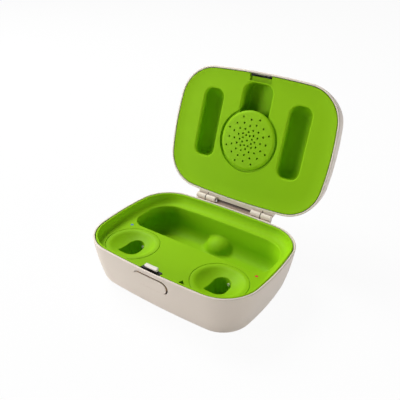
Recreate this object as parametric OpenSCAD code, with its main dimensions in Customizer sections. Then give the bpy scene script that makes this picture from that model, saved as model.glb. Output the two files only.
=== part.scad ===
// Hearing aid charging case: a hard clam-shell with a charging tray below and a drying capsule in the lid.
// Millimetres. X runs to the right, Y to the hinge at the back, Z up from the underside of the rubber mat.
// The lid is drawn shut and then turned open about the hinge, which is how the case is shown at rest.

/* [Outline] */
// Width of the case, side to side
case_w = 112; // [106:0.5:124]
// Depth of the case, front to back, without the hinge
case_d = 82.5; // [80:0.5:92]
// Plan radius of the four corners
corner_r = 23.4; // [21:0.1:26]
// How far the front and back bow out between the corners
front_bow = 1.04; // [0.6:0.02:2]
// How far the two sides bow out between the corners
side_bow = 0.88; // [0.5:0.02:2]

/* [Shells] */
// Height of the base shell from its floor to the rim
base_h = 29; // [28:0.5:34]
// Height of the lid shell from its rim to its top
lid_h = 18.7; // [16:0.1:24]
// Wall and floor thickness of both shells
shell_t = 1.6; // [1.4:0.1:2]
// Inward lean of the base wall per unit of depth at the rim
base_lean = 0.0945; // [0.07:0.0005:0.12]
// Growth of the base wall's lean with depth
base_belly = 0.0038; // [0.002:0.0001:0.005]
// Radius between the base wall and its floor
base_edge_r = 5.5; // [4.5:0.1:7]
// Inward lean of the lid wall per unit of depth at the rim
lid_lean = 0.088; // [0.06:0.001:0.12]
// Growth of the lid wall's lean with depth
lid_belly = 0.0057; // [0.003:0.0001:0.008]
// Radius between the lid wall and its top
lid_edge_r = 4.6; // [3.8:0.1:6]
// Angle of the open lid from shut
lid_open = 108; // [90:1:110]

/* [Tray] */
// Drop from the rim to the tray's deck
deck_drop = 6.15; // [5.5:0.05:7]
// Thickness of the deck
deck_t = 2.4; // [2.2:0.1:3]
// Thickness of the walls of the storage well
well_t = 1.4; // [1.2:0.1:1.8]
// Depth of the storage well below the deck
well_depth = 18.4; // [16:0.1:18.8]
// Radius of the cove along the well's floor
well_cove_r = 4; // [3:0.1:6]
// Radius of the rise that clears the power socket
rise_r = 9.2; // [8.9:0.1:10]

/* [Charging inserts] */
// Width of an insert, side to side
insert_w = 32.8; // [30:0.1:34]
// Depth of an insert, front to back
insert_d = 30; // [28:0.1:31]
// Thickness of an insert's flange
flange_t = 1.2; // [1:0.1:1.4]
// Depth of the dished funnel
funnel_drop = 4; // [3:0.1:5]
// Width of the charging slot, side to side
slot_w = 10.4; // [8:0.1:11]
// Length of the charging slot, front to back
slot_l = 15; // [13:0.1:17]
// Depth of the charging slot below the funnel
slot_depth = 10; // [8:0.1:10.5]
// Travel of the sprung charging pins
pin_travel = 0.8; // [0.4:0.1:1]

/* [Lid liner] */
// Thickness of the liner's plate
liner_t = 1.5; // [1.4:0.1:2]
// Depth of the shallow dish in the liner's face
dish_d = 1; // [0.4:0.1:1.6]
// Width of the soft curve around the dish
dish_w = 8.5; // [6:0.1:10]
// Width of a tool slot
tool_w = 14.4; // [11:0.1:15]
// Length of a tool slot
tool_l = 44.2; // [38:0.1:48]
// Depth of a tool slot
tool_depth = 10; // [8:0.1:11]
// Width of the finger pocket
pocket_w = 20.4; // [17:0.1:22]
// Depth of the finger pocket
pocket_depth = 7.6; // [7:0.1:9]
// Radius of the finger pocket's corners
pocket_r = 6; // [4:0.1:7]
// Depth of the scoop where the finger pocket runs under the drying capsule
scoop_depth = 11; // [9:0.1:12]

/* [Drying capsule] */
// Radius of the perforated cover
cover_r = 18.75; // [17:0.05:19.5]
// Width of the groove around the cover
cover_groove = 1.3; // [0.8:0.1:1.6]
// Height of the cup below the cover
cup_h = 4.6; // [4:0.1:5]
// Radius of one hole in the cover
hole_r = 0.55; // [0.4:0.05:0.7]
// Plain margin between the last ring of holes and the cover's edge
hole_margin = 3.65; // [3:0.05:5]

/* [Latch] */
// Width of the push button
button_w = 22; // [18:0.5:24]
// Height of the push button
button_h = 8; // [7.5:0.1:8.4]
// Radius of the push button's corners
button_r = 3.6; // [2:0.1:3.7]
// Travel of the push button
button_press = 1.2; // [0.9:0.1:1.3]
// Width of the hook
hook_w = 8; // [6:0.5:9]
// Thickness of the hook's plate
hook_t = 1.4; // [1.2:0.1:1.6]
// Height of the hook above the rim
hook_rise = 2; // [1.9:0.1:2.4]

/* [Hinge] */
// Distance from the rim's back edge to the hinge axis
hinge_back = 2.8; // [2.6:0.1:3.4]
// Height of the hinge axis above the base's rim
hinge_rise = 0.5; // [0.3:0.1:0.7]
// Radius of the knuckles
knuckle_r = 1.8; // [1.6:0.05:2]
// Radius of the hinge pins
pin_r = 0.8; // [0.6:0.05:1]
// Length of one knuckle
knuckle_l = 7.2; // [6:0.1:8]
// Clear length between the two hinges
hinge_span = 26.8; // [22:0.1:30]

/* [Electronics] */
// Thickness of the charging board
board_t = 1.2; // [1:0.1:1.6]
// Height of the board above the shell's floor
board_up = 2.6; // [2.2:0.1:2.8]
// Width of the power socket
socket_w = 8; // [7.4:0.1:9]
// Height of the power socket
socket_h = 2.8; // [2.4:0.1:3.2]
// Width of the power cell
cell_w = 23; // [18:0.5:25]
// Length of the power cell, front to back
cell_l = 19; // [15:0.5:19.5]
// Height of the power cell
cell_h = 11; // [8:0.1:11.2]

/* [Mat and screws] */
// How far the rubber mat stands below the shell
mat_proud = 0.6; // [0.4:0.1:1]
// Width of the rubber mat
mat_w = 80; // [70:0.5:84]
// Depth of the rubber mat, front to back
mat_d = 59; // [50:0.5:60]
// Radius of the mat's corners
mat_r = 11; // [8:0.5:14]
// Radius of the tray screws' shanks
screw_r = 1; // [0.8:0.1:1.2]

/* [Clearances] */
// Between pieces that are fitted into each other and stay put
fit_gap = 0.15; // [0.1:0.01:0.2]
// Between a pin and the bore it runs in
run_gap = 0.05; // [0.03:0.01:0.08]
// Between pieces that pass each other as they move
move_gap = 0.35; // [0.3:0.05:0.45]
// Between the two rims when the case is shut
rim_gap = 0.3; // [0.25:0.05:0.5]
// Between a piece and the face it is seated on
seat_gap = 0.05; // [0.02:0.01:0.1]

/* [Hidden] */
$fn = 64;

half_w = case_w / 2;
half_d = case_d / 2;
beige = [0.82, 0.77, 0.71];
green = [0.53, 0.74, 0.12];
steel = [0.75, 0.75, 0.77];

// Levels
z_floor = mat_proud;
z_in = z_floor + shell_t;
z_rim = z_floor + base_h;
z_lid = z_rim + rim_gap;
z_panel = z_lid + dish_d;
z_deck = z_rim - deck_drop;
z_under = z_deck - deck_t;
z_well = z_deck - well_depth;
z_board = z_in + board_up;
z_top = z_board + board_t;
z_funnel = z_deck - funnel_drop;
z_slot = z_funnel - slot_depth;

// Hinge axis
y_hinge = half_d + hinge_back;
z_hinge = z_rim + hinge_rise;

// Where the main features stand in plan
insert_x = half_w - 25.4;
insert_y = 22.45 - half_d;
tool_x = half_w - 25.5;
tool_y = 37.05 - half_d;
capsule_y = 42.3 - half_d;
pocket_y = 6.9 - half_d;

// The outline is eight arcs, each tangent to the next: two sides, front, back and four corners.
// An arc is [centre, radius, start angle, angle turned, flats].
front_r = (pow(half_w - corner_r, 2) + pow(front_bow, 2)) / (2 * front_bow);
side_r = (pow(half_d - corner_r, 2) + pow(side_bow, 2)) / (2 * side_bow);
back_c = [0, half_d - front_r];
right_c = [half_w - side_r, 0];
corner_c = meet(back_c, front_r - corner_r, right_c, side_r - corner_r);
side_a = bearing(right_c, corner_c);
back_a = bearing(back_c, corner_c);
outline = [
  [right_c, side_r, -side_a, 2 * side_a, 4],
  [corner_c, corner_r, side_a, back_a - side_a, 9],
  [back_c, front_r, back_a, 180 - 2 * back_a, 6],
  [[-corner_c[0], corner_c[1]], corner_r, 180 - back_a, back_a - side_a, 9],
  [-right_c, side_r, 180 - side_a, 2 * side_a, 4],
  [-corner_c, corner_r, 180 + side_a, back_a - side_a, 9],
  [-back_c, front_r, 180 + back_a, 180 - 2 * back_a, 6],
  [[corner_c[0], -corner_c[1]], corner_r, 360 - back_a, back_a - side_a, 9]
];

// The storage well: a straight front edge, a bowed back and rounder corners behind than in front.
well_x = half_w - 8.5;
well_front = 40.05 - half_d;
well_back = half_d - 9;
well_back_r = 600;
well_corner_r = 16;
well_front_r = 9;
well_c = [0, well_back - well_back_r];
well_corner = [
  well_x - well_corner_r,
  well_c[1] + sqrt(pow(well_back_r - well_corner_r, 2) - pow(well_x - well_corner_r, 2))
];
well_a = bearing(well_c, well_corner);
well_path = [
  [well_corner, well_corner_r, 0, well_a, 7],
  [well_c, well_back_r, well_a, 180 - 2 * well_a, 8],
  [[-well_corner[0], well_corner[1]], well_corner_r, 180 - well_a, well_a, 7],
  [[well_front_r - well_x, well_front + well_front_r], well_front_r, 180, 90, 6],
  [[well_x - well_front_r, well_front + well_front_r], well_front_r, 270, 90, 6]
];

function bearing(from, to) = atan2(to[1] - from[1], to[0] - from[0]);

// The crossing of two circles that lies in the right-hand back quarter
function meet(c0, r0, c1, r1) =
  let (
    d = norm(c1 - c0),
    u = (c1 - c0) / d,
    along = (r0 * r0 - r1 * r1 + d * d) / (2 * d),
    off = sqrt(r0 * r0 - along * along),
    p = c0 + along * u + off * [-u[1], u[0]],
    q = c0 + along * u - off * [-u[1], u[0]]
  )
  p[1] > q[1] ? p : q;

function on_arc(a, inset, part) =
  a[0] + (a[1] - inset) * [cos(a[2] + a[3] * part), sin(a[2] + a[3] * part)];

// Inset of a shell's outer wall at a depth below its rim
function base_in(d) = d * (base_lean + base_belly * d);
function lid_in(d) = d * (lid_lean + lid_belly * d);

// The points of a path moved inwards. An arc that stops short of the next one also gives its end point.
function ring(path, inset) = [
  for (k = [0:len(path) - 1])
    let (
      a = path[k],
      next = path[(k + 1) % len(path)],
      short = norm(on_arc(a, 0, 1) - on_arc(next, 0, 0)) > 0.01 ? 1 : 0
    )
    for (i = [0:a[4] - 1 + short])
      on_arc(a, inset, i / a[4])
];

// Lofts a section around a path. The section lists [inset, height] from the lower cap, up the outside,
// and on to the upper cap.
module loft(path, section) {
  n = len(ring(path, 0));
  m = len(section);
  polyhedron(
    points = [for (s = section, p = ring(path, s[0])) [p[0], p[1], s[1]]],
    faces = concat(
      [[for (j = [0:n - 1]) j]],
      [for (i = [0:m - 2], j = [0:n - 1])
        let (k = (j + 1) % n)
        [i * n + j, (i + 1) * n + j, (i + 1) * n + k, i * n + k]],
      [[for (j = [n - 1:-1:0]) (m - 1) * n + j]]
    )
  );
}

// Section of a shell as [inset, depth below the rim], from the outer floor up the outside and down the inside
function shell_section(h, lean, belly, r, t) =
  let (
    s = h - 0.73 * r,
    a = atan(lean + 2 * belly * s),
    end = h - r * (1 - sin(a)),
    c = end * (lean + belly * end) + r * cos(a)
  )
  concat(
    [for (i = [6:-1:1]) let (g = a + (90 - a) * i / 6) [c - r * cos(g), h - r + r * sin(g)]],
    [for (i = [6:-1:0]) let (d = end * i / 6) [d * (lean + belly * d), d]],
    [for (i = [0:6]) let (d = end * i / 6) [d * (lean + belly * d) + t, d]],
    [for (i = [1:6]) let (g = a + (90 - a) * i / 6) [c - (r - t) * cos(g), h - r + (r - t) * sin(g)]]
  );

// The same section stood under the base's rim, and turned over on the lid's rim
base_section = [
  for (p = shell_section(base_h, base_lean, base_belly, base_edge_r, shell_t)) [p[0], z_rim - p[1]]
];
lid_wall = shell_section(lid_h, lid_lean, lid_belly, lid_edge_r, shell_t);
lid_section = [for (i = [len(lid_wall) - 1:-1:0]) [lid_wall[i][0], z_lid + lid_wall[i][1]]];

// An oval made of two half turns about centres h to either side, with the straight run between them
module oval(h) {
  translate([h, 0, 0])
    rotate([0, 0, -90])
      rotate_extrude(angle = 180)
        children();
  translate([-h, 0, 0])
    rotate([0, 0, 90])
      rotate_extrude(angle = 180)
        children();
  translate([-h, 0, 0])
    rotate([90, 0, 90])
      linear_extrude(2 * h) {
        children();
        mirror([1, 0])
          children();
      }
}

module post(x, y, r, z0, z1) {
  translate([x, y, z0])
    cylinder(r = r, h = z1 - z0);
}

module block(x0, x1, y0, y1, z0, z1) {
  translate([x0, y0, z0])
    cube([x1 - x0, y1 - y0, z1 - z0]);
}

// Turns what is drawn on the shut lid to the open lid
module open_lid() {
  translate([0, y_hinge, z_hinge])
    rotate([-lid_open, 0, 0])
      translate([0, -y_hinge, -z_hinge])
        children();
}

// Base shell

// The bosses stand under the deck, two between the inserts and the well and two beside the inserts
screw_spots = [
  [-9, well_front - 3.1], [9, well_front - 3.1],
  [12 - half_w, well_front - 4.8], [half_w - 12, well_front - 4.8]
];
screw_pad = 1.2;
head_r = screw_r + 0.8;
head_h = 1;
mat_sink = 0.5;
z_head = z_floor + mat_sink + 0.1;
board_spots = [
  [insert_x + 5.4, insert_y - 7.2], [insert_x + 5.4, insert_y + 8.8],
  [-insert_x - 5.4, insert_y - 7.2], [-insert_x - 5.4, insert_y + 8.8]
];

// Front wall: button and hook
button_top = z_rim - 3.7;
button_z = button_top - button_h;
y_hook = 2.75 - half_d;
hook_slot = hook_w + 5.6;
groove = 0.6;

// Room behind the button for its travel
button_room = button_w / 2 + move_gap;
y_pressed = y_hook + button_press + move_gap;

// A rounded rectangle in plan, as points
function rounded(x0, x1, y0, y1, r) =
  let (corners = [[x1 - r, y1 - r], [x0 + r, y1 - r], [x0 + r, y0 + r], [x1 - r, y0 + r]])
  [for (k = [0:3], i = [0:6]) let (g = 90 * k + 15 * i) corners[k] + r * [cos(g), sin(g)]];

module mat_shape(grow) {
  w = mat_w / 2 + grow;
  d = mat_d / 2 + grow;
  polygon(rounded(-w, w, -d, d, mat_r + grow));
}

module through_front(y0, y1) {
  translate([0, y1, 0])
    rotate([90, 0, 0])
      linear_extrude(y1 - y0)
        children();
}

module base_shell() {
  color(beige)
    difference() {
      union() {
        loft(outline, base_section);
        for (s = screw_spots)
          post(s[0], s[1], head_r + 1.6, z_floor + shell_t / 2, z_in + screw_pad);
        for (s = board_spots)
          post(s[0], s[1], 1.8, z_floor + shell_t / 2, z_board);
        post(0, half_d - 13, 2, z_floor + shell_t / 2, z_board);
      }
      for (s = screw_spots) {
        post(s[0], s[1], screw_r + 0.2, -1, z_in + screw_pad + 1);
        post(s[0], s[1], head_r + 0.2, -1, z_head + head_h + seat_gap);
      }
      for (s = board_spots)
        post(s[0], s[1], 0.85, z_in, z_board + 1);
      translate([0, 0, -1])
        linear_extrude(z_floor + mat_sink + 1)
          mat_shape(fit_gap);
      through_front(-half_d - 1, -half_d + 8)
        polygon(rounded(
          -button_w / 2 - groove, button_w / 2 + groove,
          button_z - move_gap, button_top + groove, button_r + groove
        ));
      block(-hook_slot / 2, hook_slot / 2, -half_d + 0.8, -half_d + 4, z_rim - 1, z_rim + 1);
      block(
        -socket_w / 2 - move_gap, socket_w / 2 + move_gap, half_d - 9, half_d,
        z_top - fit_gap, z_top + socket_h + move_gap
      );
    }
}

// Tray

tray_lip = 0.15;
cove_r = 2.2;
boss_r = screw_r + 1.6;

function tray_out(d) = base_in(d) + shell_t + fit_gap;

module well(grow) {
  c = [0.9 + well_cove_r, z_well + well_cove_r];
  r = well_cove_r + grow;
  loft(well_path, concat(
    [for (i = [6:-1:0]) c - r * [cos(15 * i), sin(15 * i)]],
    [[-grow, z_deck + (grow > 0 ? -deck_t / 2 : 1)]]
  ));
}

module rise(r) {
  translate([0, half_d - 12.05, z_floor + 3.3])
    sphere(r = r);
}

module insert_at(side) {
  translate([side * insert_x, insert_y, 0])
    children();
}

module insert_ring(r) {
  oval((insert_w - insert_d) / 2)
    translate([0, z_under - 1])
      square([r, deck_t + 3]);
}

module tray() {
  foot_in = tray_out(deck_drop) + 1 + cove_r;
  color(green)
    difference() {
      union() {
        loft(outline, concat(
          [for (d = [deck_drop + deck_t, 6, 3, tray_lip]) [tray_out(d), z_rim - d]],
          [[tray_out(tray_lip) + 0.7, z_rim - tray_lip]],
          [for (i = [5:-1:0]) [foot_in - cove_r * sin(18 * i), z_deck + cove_r * (1 - cos(18 * i))]]
        ));
        well(well_t);
        for (s = screw_spots)
          post(s[0], s[1], boss_r, z_in + screw_pad + seat_gap, z_under + 0.5);
        block(
          -button_room - 1, button_room + 1, tray_out(deck_drop + deck_t) - half_d, y_pressed + 1,
          z_under + 0.5, button_top + move_gap + 1
        );
      }
      difference() {
        well(0);
        rise(rise_r);
      }
      rise(rise_r - well_t);
      block(
        -socket_w / 2 - move_gap, socket_w / 2 + move_gap, half_d - 15, half_d,
        0, z_top + socket_h + move_gap
      );
      for (s = screw_spots)
        post(s[0], s[1], screw_r + run_gap, 0, z_in + screw_pad + 5.2);
      for (side = [-1, 1])
        insert_at(side) {
          insert_ring(insert_d / 2 - 2.2);
          translate([0, 0, z_deck - flange_t - seat_gap - z_under + 1])
            insert_ring(insert_d / 2 + fit_gap);
          block(-2.3, 1.3, -insert_d / 2 - 0.9, -insert_d / 2 + 1, z_deck - 0.9, z_deck + 2);
        }
      for (side = [-1, 1])
        post(side * (half_w - 11.4), insert_y + 15.2, 0.9 + seat_gap, z_deck - 1.2, z_deck + 1);
      block(-hook_slot / 2, hook_slot / 2, -half_d, 5.85 - half_d, z_under - 1, z_rim + 1);
      block(-button_room, button_room, -half_d, y_pressed, z_under - 1, button_top + move_gap);
      translate([0, 0, z_under - 1])
        linear_extrude(deck_t + 4)
          polygon([
            [half_w - 41.5, 10.5 - half_d], [half_w - 41.4, 7.8 - half_d], [half_w - 38.2, 8.2 - half_d]
          ]);
    }
}

// Charging inserts

module slot_shape(grow) {
  r = slot_w / 2 + grow;
  s = (slot_l - slot_w) / 2;
  for (y = [-s, s])
    translate([0, y])
      circle(r = r);
  translate([-r, -s])
    square([2 * r, 2 * s]);
  translate([-r, -s - r])
    square([r, r]);
}

module insert() {
  h = (insert_w - insert_d) / 2;
  dish_r = insert_d / 2 - 3.4;
  wall = 1.3;
  floor_t = 1.2;
  difference() {
    union() {
      oval(h)
        polygon(concat(
          [[0, z_funnel - wall], [slot_l / 2 + 0.8, z_funnel - wall], [dish_r + 0.6, z_deck - flange_t]],
          [[insert_d / 2, z_deck - flange_t], [insert_d / 2, z_deck], [0, z_deck]]
        ));
      translate([0, 0, z_slot - floor_t])
        linear_extrude(slot_depth)
          slot_shape(wall);
    }
    oval(h)
      polygon(concat(
        [for (i = [0:6]) [dish_r * cos(15 * i), z_deck - funnel_drop * sin(15 * i)]],
        [[0, z_deck + 1], [dish_r, z_deck + 1]]
      ));
    translate([0, 0, z_slot])
      linear_extrude(slot_depth + 3)
        slot_shape(0);
    for (y = pin_spots)
      post(0, y, 0.6 + move_gap, z_slot - 3, z_slot + 1);
    stud_at(0.9 + seat_gap);
  }
}

module left_insert() {
  color(green)
    insert_at(-1)
      insert();
}

module right_insert() {
  color(green)
    insert_at(1)
      insert();
}

module marker() {
  post(0, 0, 0.9, z_deck - 1.2 + seat_gap, z_deck);
}

module left_marker() {
  color([0.25, 0.4, 0.75])
    translate([11.4 - half_w, insert_y + 15.2, 0])
      marker();
}

module right_marker() {
  color([0.8, 0.2, 0.1])
    translate([half_w - 11.4, insert_y + 15.2, 0])
      marker();
}

// A stud stands out of the round back wall of each slot, a little to the right of its middle
stud_turn = 70;
stud_drop = 2.2;

module stud_at(r) {
  s = (slot_l - slot_w) / 2;
  translate([0, s, z_funnel - stud_drop])
    rotate([0, 0, stud_turn])
      rotate([0, 90, 0])
        translate([0, 0, slot_w / 2 - 0.7])
          cylinder(r = r, h = 2);
}

module left_stud() {
  color(steel)
    insert_at(-1)
      stud_at(0.9);
}

module right_stud() {
  color(steel)
    insert_at(1)
      stud_at(0.9);
}

// Charging pins and their blocks

pin_spots = [-2.5, 2.5];
pin_stand = 1.2;

module pin_block() {
  difference() {
    block(-3.4, 3.4, -5.4, 5.4, z_top + seat_gap, z_slot - 1.2 - seat_gap);
    for (y = pin_spots)
      post(0, y, 0.6 + run_gap, z_top - 1, z_slot);
  }
}

module pins() {
  for (y = pin_spots)
    translate([0, y, 0])
      rotate_extrude()
        polygon([
          [0, z_top + pin_travel + 0.4], [0.6, z_top + pin_travel + 0.4],
          [0.6, z_slot + pin_stand - 0.3], [0.3, z_slot + pin_stand], [0, z_slot + pin_stand]
        ]);
}

module left_pin_block() {
  color([0.15, 0.15, 0.16])
    insert_at(-1)
      pin_block();
}

module right_pin_block() {
  color([0.15, 0.15, 0.16])
    insert_at(1)
      pin_block();
}

module left_pins() {
  color([0.83, 0.68, 0.3])
    insert_at(-1)
      pins();
}

module right_pins() {
  color([0.83, 0.68, 0.3])
    insert_at(1)
      pins();
}

// Electronics

board_front = insert_y - 10.2;
board_back = half_d - 7.2;
tongue_w = socket_w + 0.4;
flex_w = 6;
flex_t = 0.3;

// A main board under the inserts, a small one under the socket, and a flexible tail below the well between them
module charging_board() {
  tail_front = insert_y + 11.8;
  tail_back = half_d - 17.6;
  tail_z = z_in + 0.5;
  color([0.1, 0.35, 0.2])
    difference() {
      union() {
        block(
          -insert_x - 10.4, insert_x + 10.4, board_front, insert_y + 11.8,
          z_board + seat_gap, z_top
        );
        block(-tongue_w / 2, tongue_w / 2, tail_back, board_back, z_board + seat_gap, z_top);
        for (y = [tail_front - flex_t, tail_back])
          block(-flex_w / 2, flex_w / 2, y, y + flex_t, tail_z, z_top - board_t / 2);
        block(-flex_w / 2, flex_w / 2, tail_front - flex_t, tail_back + flex_t, tail_z, tail_z + flex_t);
      }
      for (s = screw_spots)
        post(s[0], s[1], boss_r + move_gap, 0, z_top + 1);
      for (s = board_spots)
        post(s[0], s[1], 0.9, 0, z_top + 1);
    }
}

module board_chips() {
  color([0.12, 0.12, 0.13]) {
    block(13.6, 20.6, insert_y - 7, insert_y, z_top + seat_gap, z_top + 1.2);
    for (x = [-16, 16])
      block(x - 2.1, x + 2.1, insert_y + 3, insert_y + 7.2, z_top + seat_gap, z_top + 2);
  }
}

module board_screws() {
  color(steel)
    for (s = board_spots) {
      post(s[0], s[1], 1.5, z_top + seat_gap, z_top + 0.9);
      post(s[0], s[1], 0.8, z_in + 0.4, z_top + 0.5);
    }
}

module power_socket() {
  front = half_d - base_in(z_rim - z_top - socket_h / 2) - 0.5;
  color(steel) {
    difference() {
      block(-socket_w / 2, socket_w / 2, front - 6, front, z_top + seat_gap, z_top + socket_h);
      block(
        -socket_w / 2 + 0.4, socket_w / 2 - 0.4, front - 5.4, front + 1,
        z_top + seat_gap + 0.4, z_top + socket_h - 0.4
      );
    }
    block(-socket_w / 2 + 1.4, socket_w / 2 - 1.4, front - 5.6, front - 1, z_top + 1.1, z_top + 1.8);
  }
}

module power_cell() {
  front = board_front + 1.6;
  color([0.78, 0.79, 0.8])
    translate([0, 0, z_top + seat_gap])
      linear_extrude(cell_h)
        polygon(rounded(-cell_w / 2, cell_w / 2, front, front + cell_l, 2));
}

// Screws and mat

module tray_screws() {
  color(steel)
    for (s = screw_spots) {
      post(s[0], s[1], head_r, z_head, z_head + head_h);
      post(s[0], s[1], screw_r, z_head + head_h / 2, z_in + screw_pad + 5);
    }
}

module rubber_mat() {
  color([0.16, 0.16, 0.16])
    linear_extrude(z_floor + mat_sink - seat_gap)
      mat_shape(0);
}

// Latch

guide_x = button_w / 2 - 3.4;
guide_z = button_z + 0.9;
guide_y = [y_hook + hook_t + 3.6, y_hook + hook_t + 6.6];
guide_r = 1.2;
spring_r = 1.9;

module latch_guide() {
  color([0.6, 0.6, 0.58])
    difference() {
      block(-guide_x - 3, guide_x + 3, guide_y[0], guide_y[1], guide_z - 3.2, z_under - seat_gap);
      for (x = [-guide_x, guide_x])
        translate([x, guide_y[0] - 1, guide_z])
          rotate([-90, 0, 0])
            cylinder(r = guide_r + run_gap, h = 6);
      translate([0, guide_y[0] - 1, guide_z])
        rotate([-90, 0, 0])
          cylinder(r = spring_r + 0.6, h = 1.8);
    }
}

// A coil of rings joined by a thin backbone stands between the hook and the guide
module latch_spring() {
  y0 = y_hook + hook_t + seat_gap;
  y1 = guide_y[0] + 0.8 - seat_gap;
  turns = 5;
  wire = 0.28;
  color(steel)
    translate([0, y0, guide_z])
      rotate([-90, 0, 0]) {
        for (i = [0:turns - 1])
          translate([0, 0, wire + (y1 - y0 - 2 * wire) * i / (turns - 1)])
            rotate_extrude()
              translate([spring_r, 0])
                circle(r = wire, $fn = 16);
        translate([spring_r, 0, wire])
          cylinder(r = wire * 0.8, h = y1 - y0 - 2 * wire, $fn = 16);
      }
}

module latch_button() {
  color(beige)
    intersection() {
      translate([-half_w, 0, 0])
        rotate([90, 0, 90])
          linear_extrude(case_w)
            polygon(concat(
              [for (d = [2:1:14]) [base_in(d) - half_d, z_rim - d]],
              [[y_hook - seat_gap, z_rim - 14], [y_hook - seat_gap, z_rim - 2]]
            ));
      through_front(-half_d - 1, y_hook)
        polygon(rounded(-button_w / 2, button_w / 2, button_z, button_top, button_r));
    }
}

module latch_hook() {
  tip = z_rim + hook_rise;
  color([0.88, 0.85, 0.81]) {
    block(
      -guide_x - 1.7, guide_x + 1.7, y_hook, y_hook + hook_t,
      button_z + 0.5, z_under - move_gap
    );
    translate([-hook_w / 2, 0, 0])
      rotate([90, 0, 90])
        linear_extrude(hook_w)
          polygon([
            [y_hook, button_z + 1], [y_hook + hook_t, button_z + 1], [y_hook + hook_t, tip],
            [y_hook - 0.2, tip], [y_hook - 0.8, tip - 0.35], [y_hook - 0.8, tip - 0.75], [y_hook, tip - 0.75]
          ]);
    for (x = [-guide_x, guide_x])
      translate([x, y_hook + hook_t - 0.2, guide_z])
        rotate([-90, 0, 0])
          cylinder(r = guide_r, h = guide_y[1] - y_hook - hook_t + 1.2);
  }
}

// Hinge: from the left, lid, base, then lid, base again

knuckle_gap = 0.15;
left_end = -hinge_span / 2 - 2 * knuckle_l;
right_end = hinge_span / 2 + 2 * knuckle_l;
lid_knuckles = [left_end, hinge_span / 2];
base_knuckles = [left_end + knuckle_l, hinge_span / 2 + knuckle_l];

module barrel(x, r) {
  translate([x, y_hinge, z_hinge])
    rotate([0, 90, 0])
      cylinder(r = r, h = knuckle_l);
}

module barrels(spots, bore) {
  for (x = spots)
    difference() {
      translate([x + knuckle_gap, y_hinge, z_hinge])
        rotate([0, 90, 0])
          cylinder(r = knuckle_r, h = knuckle_l - 2 * knuckle_gap);
      barrel(x, bore);
    }
}

module strip(points) {
  translate([left_end, 0, 0])
    rotate([90, 0, 90])
      linear_extrude(right_end - left_end)
        polygon(points);
}

// Between the two hinges the ledge turns up behind, so that nothing shows through under the lid's strip
module gutter(top) {
  translate([-hinge_span / 2 + knuckle_gap, 0, 0])
    rotate([90, 0, 90])
      linear_extrude(hinge_span - 2 * knuckle_gap)
        polygon([
          [half_d - 3, top - 0.6], [y_hinge + 0.2, top - 0.6], [y_hinge + 1.1, top - 0.2],
          [y_hinge + 1.6, z_hinge - 0.7], [y_hinge + 2.2, z_hinge - 0.7], [y_hinge + 2.1, top - 0.8],
          [y_hinge - 0.2, top - 3], [half_d - 3, top - 5]
        ]);
}

module base_hinge() {
  top = z_hinge - knuckle_r + 0.3;
  color(beige) {
    difference() {
      union() {
        strip([
          [half_d - 3, top], [y_hinge - 0.05, top], [y_hinge + 0.3, top - 0.6],
          [y_hinge - 0.2, top - 2], [half_d - 0.5, top - 5.2], [half_d - 3, top - 5.2]
        ]);
        for (x = base_knuckles)
          block(
            x + knuckle_gap, x + knuckle_l - knuckle_gap, y_hinge - 1, y_hinge + 1,
            top - 0.7, z_hinge - pin_r - 0.3
          );
        gutter(top);
      }
      loft(outline, [for (d = [8, 5, 2, -1]) [base_in(d) - seat_gap, z_rim - d]]);
      for (x = lid_knuckles)
        barrel(x, knuckle_r + move_gap);
    }
    barrels(base_knuckles, pin_r + run_gap / 2);
  }
}

module hinge_pins() {
  color(steel)
    for (x = lid_knuckles)
      translate([x + knuckle_gap, y_hinge, z_hinge])
        rotate([0, 90, 0])
          cylinder(r = pin_r, h = 2 * knuckle_l - 2 * knuckle_gap);
}

module lid_hinge() {
  low = z_hinge + knuckle_r - 0.6;
  color(beige)
    open_lid() {
      difference() {
        union() {
          strip([
            [half_d - 3, low], [y_hinge - 0.65, low], [y_hinge - 0.4, low + 0.6],
            [y_hinge - 1.2, low + 1.8], [half_d - 0.6, low + 4.6], [half_d - 3, low + 4.6]
          ]);
          for (x = lid_knuckles)
            block(
              x + knuckle_gap, x + knuckle_l - knuckle_gap, y_hinge - 1.1, y_hinge + 0.7,
              z_hinge + pin_r + 0.3, low + 0.4
            );
        }
        loft(outline, [for (d = [-1, 2, 5, 8]) [lid_in(d) - seat_gap, z_lid + d]]);
        for (x = base_knuckles)
          barrel(x, knuckle_r + move_gap);
      }
      barrels(lid_knuckles, pin_r + run_gap);
    }
}

// Lid

module lid_shell() {
  color(beige)
    open_lid()
      loft(outline, lid_section);
}

cup_wall = 1;
liner_face = 0.1;
seat_depth = 1.3;
recess_r = cover_r + cover_groove;
bore_r = cover_r - 1.4;
bore_depth = seat_depth + cup_h + 0.3;

function liner_out(d) = lid_in(d) + shell_t + fit_gap;

// Two turned ends and the trough between them, sunk from the liner's panel
module trough(grow) {
  r = tool_w / 2 + grow;
  s = (tool_l - tool_w) / 2;
  axis = z_panel + tool_depth - tool_w / 2;
  face = z_panel + (grow > 0 ? liner_t / 2 : -2);
  intersection() {
    union() {
      for (y = [-s, s])
        translate([0, y, axis])
          sphere(r = r);
      translate([0, -s, axis])
        rotate([-90, 0, 0])
          cylinder(r = r, h = 2 * s);
    }
    block(-r - 1, r + 1, -s - r - 1, s + r + 1, axis - 0.1, axis + r + 1);
  }
  for (y = [-s, s])
    post(0, y, r, face, axis);
  block(-r, r, -s, s, face, axis);
}

// The scoop reaches from in front of the cover's edge to below it
module scoop_shape(grow) {
  w = pocket_w / 2 + grow;
  translate([-w, capsule_y - cover_r - 4 - grow])
    square([2 * w, cover_r + 4]);
}

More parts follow.
